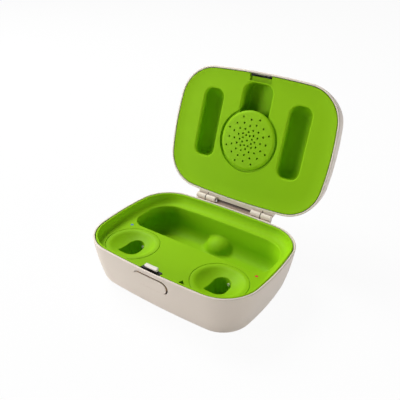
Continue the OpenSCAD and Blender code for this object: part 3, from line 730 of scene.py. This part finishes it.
# %% Paths of the well
WELL_X = half_w - 8.5
WELL_FRONT = 40.05 - half_d
WELL_BACK = half_d - 9
WELL_BACK_R = 600
BACK_CORNER = 16
FRONT_CORNER = 9
WELL_DEPTH = 18.4
z_well = z_deck - WELL_DEPTH
well_c = complex(0, WELL_BACK - WELL_BACK_R)
corner_up = math.sqrt((WELL_BACK_R - BACK_CORNER) ** 2 - (WELL_X - BACK_CORNER) ** 2)
well_corner = complex(WELL_X - BACK_CORNER, well_c.imag + corner_up)
well_a = bearing(well_c, well_corner)
well_path = [
    (well_corner, BACK_CORNER, 0, well_a, 16),
    (well_c, WELL_BACK_R, well_a, 180 - 2 * well_a, 48),
    (-well_corner.conjugate(), BACK_CORNER, 180 - well_a, well_a, 16),
    (complex(FRONT_CORNER - WELL_X, WELL_FRONT + FRONT_CORNER), FRONT_CORNER, 180, 90, 14),
    (complex(WELL_X - FRONT_CORNER, WELL_FRONT + FRONT_CORNER), FRONT_CORNER, 270, 90, 14),
]
print(f"well from {WELL_FRONT:.2f} to {WELL_BACK:.2f} with its floor at {z_well:.2f}")

# %% [markdown]
# The rise is a ball that stands in the floor. Where the ball and the floor are nearly level, the higher of
# the two is lifted a little more, which melts them together as a mould maker's fillet does.

# %% The form of the rise
RISE_R = 9.2
RISE_JOIN = 8.0
rise_c = complex(0, half_d - 12.05)
z_rise = z_floor + 2.9


def soft_max(a, b, reach):
    """The larger of two heights, with a soft join where they are close."""
    near = max(reach - abs(a - b), 0) / reach
    return max(a, b) + near * near * reach / 4


def risen(points, z):
    """Lays plan points at a height, lifted over the rise."""
    laid = []
    for p in points:
        off = abs(p - rise_c)
        crown = math.sqrt(RISE_R**2 - off**2) if off < RISE_R else 2 * (RISE_R - off)
        laid.append((p.real, p.imag, soft_max(z, z_rise + crown, RISE_JOIN)))
    return laid


print(f"rise of {RISE_R} mm radius about height {z_rise:.2f}")

# %% [markdown]
# The rings of the well start as a small one in the middle of the floor, spread to the foot of the wall,
# climb the cove, and end in a rounded lip at the deck.

# %% Rings of the well
COVE_R = 7
DRAFT = 0.9
FLOOR_STEPS = 22
FLOOR_START = 0.04
LIP = 0.8
LIP_IN = 0.1
well_mid = complex(0, 15.5)
foot = DRAFT + COVE_R
floor_ring = ring(well_path, foot)
well_rings = []
for part in [FLOOR_START] + [i / FLOOR_STEPS for i in range(2, FLOOR_STEPS + 1)]:
    well_rings.append(risen([well_mid + (p - well_mid) * part for p in floor_ring], z_well))
for inset, z in quarter(foot, z_well + COVE_R, -COVE_R, -COVE_R, 12, 90, 0)[1:]:
    well_rings.append(risen(ring(well_path, inset), z))
lip = quarter(LIP_IN - LIP, z_deck - LIP, LIP, LIP, 6) + [(-LIP, z_deck + REACH)]
well_rings += swept(well_path, lip)
print("well of", len(well_rings), "rings")

# %% [markdown]
# The tray's wall follows the inside of the base with a little play, widens a little beside the thin rim,
# turns over a rounded top edge, and runs down its inner side into the cove. The cove grows from front to
# back, so each of its rings is a mix of a small and a large one.

# %% Wall of the tray
SKIRT = 8.55
FLARE = 2.4
TRAY_T = 1.1
TRAY_DROP = 0.2
TRAY_EDGE = 0.4
INNER_EDGE = 0.5
FRONT_COVE = 2.2
BACK_COVE = 5.4
COVE_FROM = -24
COVE_OVER = 34


def fitted(d, slope):
    """The outside of what sits in a shell with a little play, at a distance from the rim."""
    return come_in(d, slope) + SHELL_T + PLAY


def cove(inset, r):
    """Inset and height of a hollow round, from its top to the deck."""
    return quarter(inset + r, r, -r, -r, 10)


z_top = z_rim - TRAY_DROP
lip_out = RIM_T + 0.45
wall_in = fitted(PLAY, BASE_SLOPE) + TRAY_T
tray_wall = [(fitted(d, BASE_SLOPE), z_rim - d) for d in (SKIRT, 6, 3.2)]
tray_wall.append((lip_out + come_in(FLARE, BASE_SLOPE), z_rim - FLARE))
tray_wall += quarter(lip_out + TRAY_EDGE, z_top - TRAY_EDGE, -TRAY_EDGE, TRAY_EDGE, 5)
tray_wall += quarter(wall_in - INNER_EDGE, z_top - INNER_EDGE, INNER_EDGE, INNER_EDGE, 5, 90, 0)
tray_rings = swept(outline, tray_wall)
small, large = cove(wall_in + 0.4, FRONT_COVE), cove(wall_in, BACK_COVE)
for (near_in, near_up), (far_in, far_up) in zip(small, large):
    points = []
    for near, far in zip(ring(outline, near_in), ring(outline, far_in)):
        back = min(max((near.imag - COVE_FROM) / COVE_OVER, 0), 1)
        back = back * back * (3 - 2 * back)
        p = near + (far - near) * back
        points.append((p.real, p.imag, z_deck + near_up + (far_up - near_up) * back))
    tray_rings.append(points)
print("tray of", len(tray_rings), "rings")

# %% [markdown]
# The outside of the bath and the latch's housing are joined on below, and then the inside of the well is
# cut out. A smaller ball hollows the rise from underneath.

# %% Tray with its well
BATH_COVE = 5.4
BATH_T = 1.4
DECK_T = 1.2
ROOM_X = 11.35
ROOM_BACK = -36.95
ROOM_UP = 0.35
HOUSING_T = 1
tray = lofted("tray_moulding", tray_rings)
bath = quarter(BATH_COVE - 0.5, z_well - BATH_T + BATH_COVE, -BATH_COVE, -BATH_COVE, 6, 90, 0)
bath.append((-BATH_T, z_deck - DECK_T))
cut(tray, lofted("well_outside", swept(well_path, bath)), "UNION")
housing_x = ROOM_X + HOUSING_T
housing_back = ROOM_BACK + HOUSING_T
housing_top = button_high.z + ROOM_UP + HOUSING_T
skirt_y = fitted(SKIRT, BASE_SLOPE) - half_d
housing = block(-housing_x, housing_x, skirt_y, housing_back, z_deck - 1.9, housing_top)
cut(tray, housing, "UNION")
cut(tray, lofted("well_inside", well_rings))
bpy.ops.mesh.primitive_uv_sphere_add(
    segments=32, ring_count=16, radius=(RISE_R - BATH_T) * MM, location=Vector((0, rise_c.imag, z_rise)) * MM
)
bpy.ops.object.transform_apply()
cut(tray, bpy.context.object)
print("tray with its well:", len(tray.data.polygons), "faces")

# %% [markdown]
# The other openings are the oval seats of the inserts with their pry notches, the two coloured dots, the
# latch's slot and room, and a small triangular draining notch beside them. The cutter of a seat has the
# rounded lip in its own shape, so the edge needs no bevel afterwards.

# %% Openings in the deck
INSERT_H = 1.4
INSERT_R = 15
EDGE_R = 0.3
LEDGE_IN = 2.2
LEDGE_DOWN = 1.25
DOT_R = 0.95
LATCH_DOWN = 3.4
HOOK_ROOM = 5.85


def stadium(x, y, r):
    """An oval of two half turns."""
    return [(complex(x + INSERT_H, y), r, -90, 180, 24), (complex(x - INSERT_H, y), r, 90, 180, 24)]


seat = [(LEDGE_IN, z_deck - 4), (LEDGE_IN, z_deck - LEDGE_DOWN), (-PLAY, z_deck - LEDGE_DOWN)]
seat += quarter(-PLAY - EDGE_R, z_deck - EDGE_R, EDGE_R, EDGE_R, 4)
seat.append((-PLAY - EDGE_R, z_deck + REACH))
for side, name in ((-1, "left"), (1, "right")):
    x, y = side * insert_c.x, insert_c.y
    cut(tray, lofted("insert_seat", swept(stadium(x, y, INSERT_R), seat)))
    pry = rounded(x - 2.3, x + 1.3, y - INSERT_R - 0.9, y - INSERT_R + 1, 0.4, 4)
    cut(tray, lofted("pry_notch", [level(ring(pry), z) for z in (z_deck - 0.9, z_deck + 2)]))
    dot = middle(f"{name}_marker")
    cut(tray, post(dot.x, dot.y, DOT_R, z_deck - DECK_T, z_deck + REACH))
cut(tray, block(-HOOK_SLOT, HOOK_SLOT, -half_d, HOOK_ROOM - half_d, z_deck - LATCH_DOWN, z_rim + REACH))
cut(tray, block(-ROOM_X, ROOM_X, -half_d, ROOM_BACK, z_deck - LATCH_DOWN, button_high.z + ROOM_UP))
drain = [complex(14.3, 11.6 - half_d), complex(12.6, 6.4 - half_d), complex(19.2, 7.2 - half_d)]
cut(tray, lofted("drain_notch", [level(drain, z) for z in (z_deck - LATCH_DOWN, z_deck + 4)]))
finished(tray, "base", "tray", lime)

# %% [markdown]
# ## The charging inserts
#
# Each insert is an oval plate with a dished funnel that leads into a slot shaped like a D: round at the
# back and on the right, straight on the left, with one sharp corner in front. The slot's corner has no
# match on the oval, so the rings are drawn along rays from the middle: every ray has its point on the oval
# and its point on the slot, and the points between lie on the dish.

# %% Rays of an insert
SLOT_R = 5.2
SLOT_S = 2.3
SIDE_STEP = 0.75
FRONT_STEP = 0.6
CORNER_SIDE = 0.4
CORNER_CUT = 0.12
FAR = 1e9


def slot_points(grow):
    """The D-shaped slot, grown outwards."""
    r = SLOT_R + grow
    front = -SLOT_S - r
    points = [complex(r, SLOT_S * i / 4) for i in range(-3, 4)]
    points += [complex(0, SLOT_S) + cmath.rect(r, g) for g in arc_steps(32, 0, 180)]
    points += [complex(-r, SLOT_S - SIDE_STEP * i) for i in range(1, 13)]
    points += [complex(-r, front + CORNER_SIDE), complex(-r + CORNER_CUT, front + CORNER_CUT)]
    points += [complex(-r + CORNER_SIDE, front)]
    points += [complex(-4.2 + FRONT_STEP * i, front) for i in range(7)]
    return points + [complex(0, -SLOT_S) + cmath.rect(r, g) for g in arc_steps(16, -90, 0)]


def oval_points(r):
    """The points of an oval on the rays of the slot's points."""
    points = []
    for p in slot_points(0):
        ray = p / abs(p)
        across = r / abs(ray.imag) if ray.imag else FAR
        if across * abs(ray.real) > INSERT_H:
            h = INSERT_H * abs(ray.real)
            across = h + math.sqrt(h**2 - INSERT_H**2 + r**2)
        points.append(ray * across)
    return points


print("insert of", len(slot_points(0)), "rays")

# %% [markdown]
# The dish is steep near the slot and flattens towards the edge, where it melts into the plate. The rings
# run from the bottom of the slot's outside, out under the plate, over its edge, down the dish and into the
# slot.

# %% Rings of an insert
FUNNEL = 4
DISH_R = 12.4
DISH_POWER = 2.3
DISH_JOIN = 0.9
DISH_START = 13.8
DISH_STEPS = 18
SLOT_DEPTH = 10
SLOT_T = 1.3
PLATE_T = 1.2
THROAT_R = 0.6
z_funnel = z_deck - FUNNEL
z_slot = z_funnel - SLOT_DEPTH


def dished(points):
    """Lays points of an insert on its dish."""
    laid = []
    for p in points:
        r = math.hypot(max(abs(p.real) - INSERT_H, 0), p.imag)
        bowl = FUNNEL * (1 - (r / DISH_R) ** DISH_POWER)
        laid.append((p.real, p.imag, z_deck - soft_max(bowl, 0, DISH_JOIN)))
    return laid


insert_rings = [level(slot_points(SLOT_T), z) for z in (z_slot - PLATE_T, z_funnel - 2)]
plate = [(r, z_deck - d) for r, d in ((10.2, 5.0), (12.2, PLATE_T), (INSERT_R, PLATE_T))]
plate += quarter(INSERT_R - EDGE_R, z_deck - EDGE_R, EDGE_R, EDGE_R, 4)
insert_rings += [level(oval_points(r), z) for r, z in plate]
start, end = oval_points(DISH_START), slot_points(THROAT_R)
for i in range(DISH_STEPS + 1):
    insert_rings.append(dished([a + (b - a) * i / DISH_STEPS for a, b in zip(start, end)]))
mouth = [z for _, _, z in insert_rings[-1]]
for grow, drop in quarter(THROAT_R, THROAT_R, -THROAT_R, -THROAT_R, 5, 90, 0)[1:]:
    insert_rings.append([(p.real, p.imag, z - drop) for p, z in zip(slot_points(grow), mouth)])
for grow, up in ((0, 0.5), (-0.15, 0.12), (-0.5, 0)):
    insert_rings.append(level(slot_points(grow), z_slot + up))
print("insert of", len(insert_rings), "rings")

# %% [markdown]
# Both inserts are the same moulding, set down to the left and to the right. The floor of each slot has two
# holes for the charging pins.

# %% The two inserts
PIN_OFF = 2.5
PIN_HOLE_R = 0.95
for side, name in ((-1, "left"), (1, "right")):
    shift = Vector((side * insert_c.x, insert_c.y, 0))
    placed = [[Vector(p) + shift for p in points] for points in insert_rings]
    insert = lofted(f"{name}_insert_moulding", placed)
    for off in (-PIN_OFF, PIN_OFF):
        cut(insert, post(shift.x, shift.y + off, PIN_HOLE_R, z_slot - 3, z_slot + REACH, 20))
    finished(insert, "base", f"{name}_insert", lime_insert)

# %% [markdown]
# ## The lid's liner
#
# The liner's face is a very shallow dish: it falls away from its edge over about the width of a finger and
# then runs flat. Two deep pill-shaped slots hold the cleaning tools, a round recess holds the drying
# capsule, and a pocket between the capsule and the catch lets a finger lift the capsule out. The face is
# drawn first, as rings from the flat middle over the edge to the back.

# %% Face of the liner
DISH_D = 1
DISH_W = 8.5
FACE = 0.25
FACE_EDGE = 0.4
LINER_D = 4.5
z_panel = z_lid + DISH_D
edge_in = RIM_T + 0.35
flat_in = edge_in + FACE_EDGE
z_edge = z_lid + FACE
liner_wall = [
    (flat_in + (DISH_W - FACE_EDGE) * u, z_edge + (DISH_D - FACE) * u * (2 - u))
    for u in [1 - i / 12 for i in range(13)]
]
liner_wall += quarter(flat_in, z_edge + FACE_EDGE, -FACE_EDGE, -FACE_EDGE, 5, 90, 0)[1:]
liner_wall.append((edge_in + come_in(FLARE, LID_SLOPE), z_lid + FLARE))
liner_wall += [(fitted(d, LID_SLOPE), z_lid + d) for d in (3.2, LINER_D)]
liner_out = fitted(LINER_D, LID_SLOPE)
liner_wall += [(liner_out + 1.2, z_lid + LINER_D), (liner_out + 1.4, z_panel + 1.5)]
liner = lofted("lid_liner_moulding", swept(outline, liner_wall))
print("liner face:", len(liner.data.polygons), "faces")

# %% [markdown]
# Each deep opening needs a wall behind the face. The outsides are joined on first, a little larger than the
# openings that are cut into them afterwards.

# %% Outsides behind the face
TOOL_R = 7.2
TOOL_S = 14.9
TOOL_DEPTH = 11.2
TOOL_CORNER = 5.6
TOOL_T = 0.8
CAPSULE_ROOM = 20.05
BEHIND = 0.75
tool_x = half_w - 25.5
tool_y = 37.05 - half_d
capsule_y = 42.3 - half_d


def tool_path(x, grow):
    """The outline of a tool slot, a long rounded rectangle."""
    wide = TOOL_R + grow
    long = TOOL_R + TOOL_S + grow
    corner = max(TOOL_CORNER + grow, 0.4 * wide)
    return rounded(x - wide, x + wide, tool_y - long, tool_y + long, corner, 12)


def trough(x, grow):
    """Rings of a tool slot from its bottom to the height where its walls turn straight."""
    r = TOOL_R + grow
    section = quarter(-TOOL_R, z_panel + TOOL_DEPTH - TOOL_R, r, r, 12, 84, 0)
    return [level(ring(tool_path(x, wider)), z) for wider, z in section]


def disc_path(r, flats):
    """A circle about the capsule's axis as a path of two half turns."""
    return [(complex(0, capsule_y), r, start, 180, flats) for start in (0, 180)]


recess = disc_path(CAPSULE_ROOM, 48)
pocket = rounded(-10.2, 10.2, -34.35, -10, 6, 12)
for x in (-tool_x, tool_x):
    neck = [level(ring(tool_path(x, TOOL_T)), z_panel + BEHIND)]
    cut(liner, lofted("trough_outside", trough(x, TOOL_T) + neck), "UNION")
for path, inset, depth in ((recess, -1, 2.3), (recess, 1.7, 7.2), (pocket, -1, 12)):
    outside = [level(ring(path, inset), z_panel + z) for z in (depth, BEHIND)]
    cut(liner, lofted("room_outside", outside), "UNION")
print("liner before its openings:", len(liner.data.polygons), "faces")

# %% [markdown]
# The cutters of the slots, the recess and the pocket flare at the face, which gives a rounded lip that
# catches light. The catch notch is stepped, with room for the black catch plate at its back.

# %% Openings in the liner
SLOT_LIP = 0.9
RECESS_LIP = 0.45
RECESS_DEPTH = 1.3
CUP_R = 17.35
CUP_DEPTH = 6.2
POCKET_DEPTH = 10.8
POCKET_ROUND = 1.2
CATCH_X = 7.6


def flared(path, lip, depth):
    """Rings from a depth to the face, opening out over a rounded lip of that radius."""
    section = [(0, z_panel + depth)] + quarter(-lip, z_panel + lip, lip, -lip, 6)
    return swept(path, section + [(-lip, z_panel - 2)])


for x in (-tool_x, tool_x):
    straight = flared(tool_path(x, 0), SLOT_LIP, TOOL_DEPTH - TOOL_R)
    cut(liner, lofted("tool_slot", trough(x, 0)[:-1] + straight))
cut(liner, lofted("capsule_recess", flared(recess, RECESS_LIP, RECESS_DEPTH)))
cut(liner, post(0, capsule_y, CUP_R, z_panel - 2, z_panel + CUP_DEPTH, 96))
z_round = z_panel + POCKET_DEPTH - POCKET_ROUND
bottom = quarter(POCKET_ROUND, z_round, -POCKET_ROUND, POCKET_ROUND, 5, 90, 0)
cut(liner, lofted("finger_pocket", swept(pocket, bottom) + flared(pocket, SLOT_LIP, 5.4)))
cut(liner, block(-CATCH_X, CATCH_X, -half_d, 3.1 - half_d, z_lid - REACH, z_lid + 4.2))
cut(liner, block(-CATCH_X, CATCH_X, -half_d, HOOK_ROOM - half_d, z_lid - REACH, z_lid + 2))
finished(opened(liner), "lid", "lid_liner", lime)

# %% [markdown]
# ## The drying capsule's cover
#
# A slightly domed disc with a rounded edge. The disc is drawn as circles from its underside over its edge
# to its crown, which stands a little proud of the liner.

# %% Capsule cover
COVER_R = 18.75
COVER_UNDER = 1.25
SHOULDER_AT = 1
SHOULDER_R = 2
SHOULDER_H = 1.7
CROWN = -1.1
CROWN_FALL = 0.4
crown_r = COVER_R - SHOULDER_R
disc = [(8, COVER_UNDER), (COVER_R, COVER_UNDER)]
disc += quarter(crown_r, SHOULDER_AT, SHOULDER_R, -SHOULDER_H, 9)
disc += [(r, CROWN + CROWN_FALL * (r / crown_r) ** 2) for r in (15.8, 13.5, 11.5, 9.5, 7.5, 5.5, 3.5, 1.6)]
unit = disc_path(1, 60)
cover = lofted("capsule_cover_moulding", [level(ring(unit, 1 - r), z_panel + z) for r, z in disc])
print("cover of", len(disc), "circles")

# %% [markdown]
# The cover is pierced by rings of small holes around a middle one. One hole is added after another in edit
# mode, ring by ring, each ring turned by half a step against the last, and all of them are cut at once.

# %% Holes in the cover
HOLE_R = 0.66
HOLE_FLATS = 16
HOLE_RINGS = 7
HOLES = 8
FIRST_RING = 1.5
RING_STEP = 1.943
HOLE_REACH = 2
holes = post(0, capsule_y, HOLE_R, z_panel - HOLE_REACH, z_panel + HOLE_REACH, HOLE_FLATS)
bpy.ops.object.mode_set(mode="EDIT")
for k in range(1, HOLE_RINGS + 1):
    for i in range(HOLES):
        step = 360 / HOLES
        spot = cmath.rect(FIRST_RING + RING_STEP * k, math.radians(step * i + step / 2 * (k % 2)))
        place = Vector((spot.real, capsule_y + spot.imag, z_panel)) * MM
        bpy.ops.mesh.primitive_cylinder_add(
            vertices=HOLE_FLATS, radius=HOLE_R * MM, depth=2 * HOLE_REACH * MM, location=place
        )
bpy.ops.object.mode_set(mode="OBJECT")
cut(cover, holes)
finished(opened(cover), "capsule", "capsule_cover", lime_insert)

# %% [markdown]
# ## Small mouldings
#
# The button, the hook, the hinge leaves, the catch and the mat have the right shape in the frame, but their
# edges are sharp. Each is copied, its loose triangles are merged and flat ones joined, and a Bevel modifier
# rounds the edges. Three of them also get a block joined on: black blocks beside the hook, which are
# painted shade for its slot, a lip along the hinge's gutter, and a plate at the back of the catch notch,
# which paints the notch's shade in the black of the catch.

# %% A helper that eases the edges of a CAD piece
WELD = 0.000002
FLAT_ANGLE = 0.5
EDGE_ANGLE = 40


def eased(node, body, material, width, extra=None):
    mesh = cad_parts[node].data.copy()
    piece = bpy.data.objects.new(node + "_eased", mesh)
    bpy.context.scene.collection.objects.link(piece)
    only(piece)
    bpy.ops.object.mode_set(mode="EDIT")
    bpy.ops.mesh.select_all(action="SELECT")
    bpy.ops.mesh.remove_doubles(threshold=WELD)
    bpy.ops.mesh.dissolve_limited(angle_limit=math.radians(FLAT_ANGLE))
    bpy.ops.object.mode_set(mode="OBJECT")
    limit = math.radians(EDGE_ANGLE)
    modified(piece, "BEVEL", width=width * MM, segments=3, limit_method="ANGLE", angle_limit=limit)
    if extra:
        cut(piece, extra, "UNION")
    finished(piece, body, node, material)


print("edges above", EDGE_ANGLE, "degrees can be eased")

# %% [markdown]
# The button's edge is almost sharp, so that the tight side of its gap hardly shows. The hinge leaves are
# the softest.

# %% Eased pieces
# black blocks beside the hook, painted shade for its slot
slot_shade_blocks = block(-6.4, 6.4, 2.35 - half_d, 4.35 - half_d, z_deck + 1, z_rim - 0.4)
gutter_y = hinge_c.y + 1.65
gutter_z = hinge_c.z - 0.9
gutter_lip = block(
    -KNUCKLE_END - 0.2, KNUCKLE_END - 0.15, gutter_y, gutter_y + 0.5, gutter_z, gutter_z + 0.55
)
# a black plate at the back of the catch notch: the black of the catch, and painted shade for the notch
notch_shade_plate = block(-7.4, 7.4, 1.9 - half_d, 3.05 - half_d, z_lid + 3.4, z_lid + 4.15)
eased("latch_button", "latch", button_satin, 0.05)
eased("latch_hook", "latch", hook_cap, 0.2, slot_shade_blocks)
eased("base_hinge", "base", hinge_base, 0.25, gutter_lip)
eased("lid_hinge", "lid", hinge_lid, 0.25)
eased("catch_plate", "lid", black, 0.1, opened(notch_shade_plate))
eased("rubber_mat", "base", rubber, 0.2)

# %% [markdown]
# ## Finishes on the pieces that stay as they are
#
# The pieces inside and the small round ones have the right shape in the frame. They keep their mesh and
# only change their material.

# %% Finishes of the CAD nodes
finishes = {
    "left_marker": blue,
    "right_marker": red,
    "charging_board": board,
    "board_chips": black,
    "power_cell": can,
    "latch_guide": grey,
    "capsule_cup": lime_insert,
    "desiccant": drying,
}
for side in ("left", "right"):
    finishes.update({f"{side}_stud": stud, f"{side}_pin_block": black, f"{side}_pins": gold})
for node in ("board_screws", "power_socket", "tray_screws", "latch_spring", "hinge_pins"):
    finishes[node] = steel
for node, material in finishes.items():
    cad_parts[node].data.materials.clear()
    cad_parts[node].data.materials.append(material)
print("finished nodes:", len(finishes))

# %% [markdown]
# ## Camera
#
# The photograph looks down at the open case from the front right. Its angles, distance and focal length
# were found by fitting the case's outline to the picture, and the camera's three axes are built from them.
# The focal length is known in pixels of the picture, and a lens is the same share of the sensor's width.

# %% Camera
AZIMUTH = math.radians(34.47)
ELEVATION = math.radians(29.30)
ROLL = math.radians(0.86)
DISTANCE = 0.3312
SENSOR = 36
FOCAL_PIXELS = 501.33
PICTURE_PIXELS = 400
target = Vector((-22.08, 38.44, 29.6)) * MM
flat = math.cos(ELEVATION)
back = Vector((math.sin(AZIMUTH) * flat, -math.cos(AZIMUTH) * flat, math.sin(ELEVATION)))
right = Vector((math.cos(AZIMUTH), math.sin(AZIMUTH), 0))
up = back.cross(right)
turned_right = right * math.cos(ROLL) + up * math.sin(ROLL)
turned_up = up * math.cos(ROLL) - right * math.sin(ROLL)
camera_data = bpy.data.cameras.new("camera")
camera_data.sensor_width = SENSOR
camera_data.lens = SENSOR * FOCAL_PIXELS / PICTURE_PIXELS
camera_data.clip_start = 0.01
camera = bpy.data.objects.new("camera", camera_data)
axes = Matrix((turned_right, turned_up, back)).transposed().to_4x4()
camera.matrix_world = Matrix.Translation(target + back * DISTANCE) @ axes
bpy.context.scene.collection.objects.link(camera)
bpy.context.scene.camera = camera
print("camera at", camera.location)

# %% [markdown]
# ## Floor and light
#
# The photograph is a cut-out on white. The floor and the sky glow white for the camera and in reflections,
# and a share of diffuse white in the floor keeps the contact shadow. The case itself gets very little of
# that glow, so its light comes from the lamps.

# %% Floor and sky
PAPER = (0.85, 0.85, 0.85, 1)
WHITE = (1, 1, 1, 1)
GLOW_SHARE = 0.95
FAINT_SKY = 0.04


def seen_rays(tree):
    """1 for a ray that shows the backdrop to the eye, else 0."""
    path = tree.nodes.new("ShaderNodeLightPath").outputs
    return Signal(path["Is Camera Ray"]) + Signal(path["Is Glossy Ray"]) + Signal(path["Is Transmission Ray"])


def surfaced(tree, shader, kind):
    """Sends a shader to the output of its tree."""
    out = tree.nodes.new(kind)
    tree.links.new(shader.socket, out.inputs["Surface"])


bpy.ops.mesh.primitive_plane_add(size=6)
floor = bpy.context.object
floor.name = "floor"
paper = bpy.data.materials.new("white_paper")
paper.use_nodes = True
paper.node_tree.nodes.clear()
seen = seen_rays(paper.node_tree)
diffuse = seen.node("ShaderNodeBsdfDiffuse", {}, {"Color": PAPER})
glow = seen.node("ShaderNodeEmission", {}, {"Color": WHITE, "Strength": 1.0})
mix = seen.node("ShaderNodeMixShader", {}, {0: GLOW_SHARE * seen, 1: diffuse, 2: glow})
surfaced(paper.node_tree, mix, "ShaderNodeOutputMaterial")
floor.data.materials.append(paper)

world = bpy.data.worlds.new("studio")
bpy.context.scene.world = world
world.use_nodes = True
world.node_tree.nodes.clear()
seen = seen_rays(world.node_tree)
strength = FAINT_SKY + (1 - FAINT_SKY) * seen
sky = seen.node("ShaderNodeBackground", {}, {"Color": WHITE, "Strength": strength})
surfaced(world.node_tree, sky, "ShaderNodeOutputWorld")
print("floor and sky are white")

# %% [markdown]
# The light in the photograph is soft and comes mostly from the left, and the left walls of the slots and of
# the well lie in shadow. So the key is a large softbox high on the left. A smaller and lower one from the
# front left lights the front wall, and a low strip lights the right side.

# %% Lamps
LAMP_AT = 1.1
AIM = Vector((0, 0.01, 0.035))


def softbox(name, around, above, wide, tall, watts):
    """An area lamp that looks at the case, placed by its angle from the front and its height in degrees."""
    turn, climb = math.radians(around), math.radians(above)
    flat = math.cos(climb)
    reach = Vector((math.sin(turn) * flat, -math.cos(turn) * flat, math.sin(climb)))
    data = bpy.data.lights.new(name, "AREA")
    data.shape = "RECTANGLE"
    data.size = wide
    data.size_y = tall
    data.energy = watts
    lamp = bpy.data.objects.new(name, data)
    lamp.location = AIM + LAMP_AT * reach
    lamp.rotation_euler = (-reach).to_track_quat("-Z", "Y").to_euler()
    bpy.context.scene.collection.objects.link(lamp)
    print(name, "of", watts, "W")


softbox("key", -98, 52, 0.6, 0.6, 13)
softbox("front", -44, 13, 0.4, 0.3, 6)
softbox("side", 84, 4, 0.2, 0.1, 3.5)
bpy.context.scene.view_settings.view_transform = "Standard"
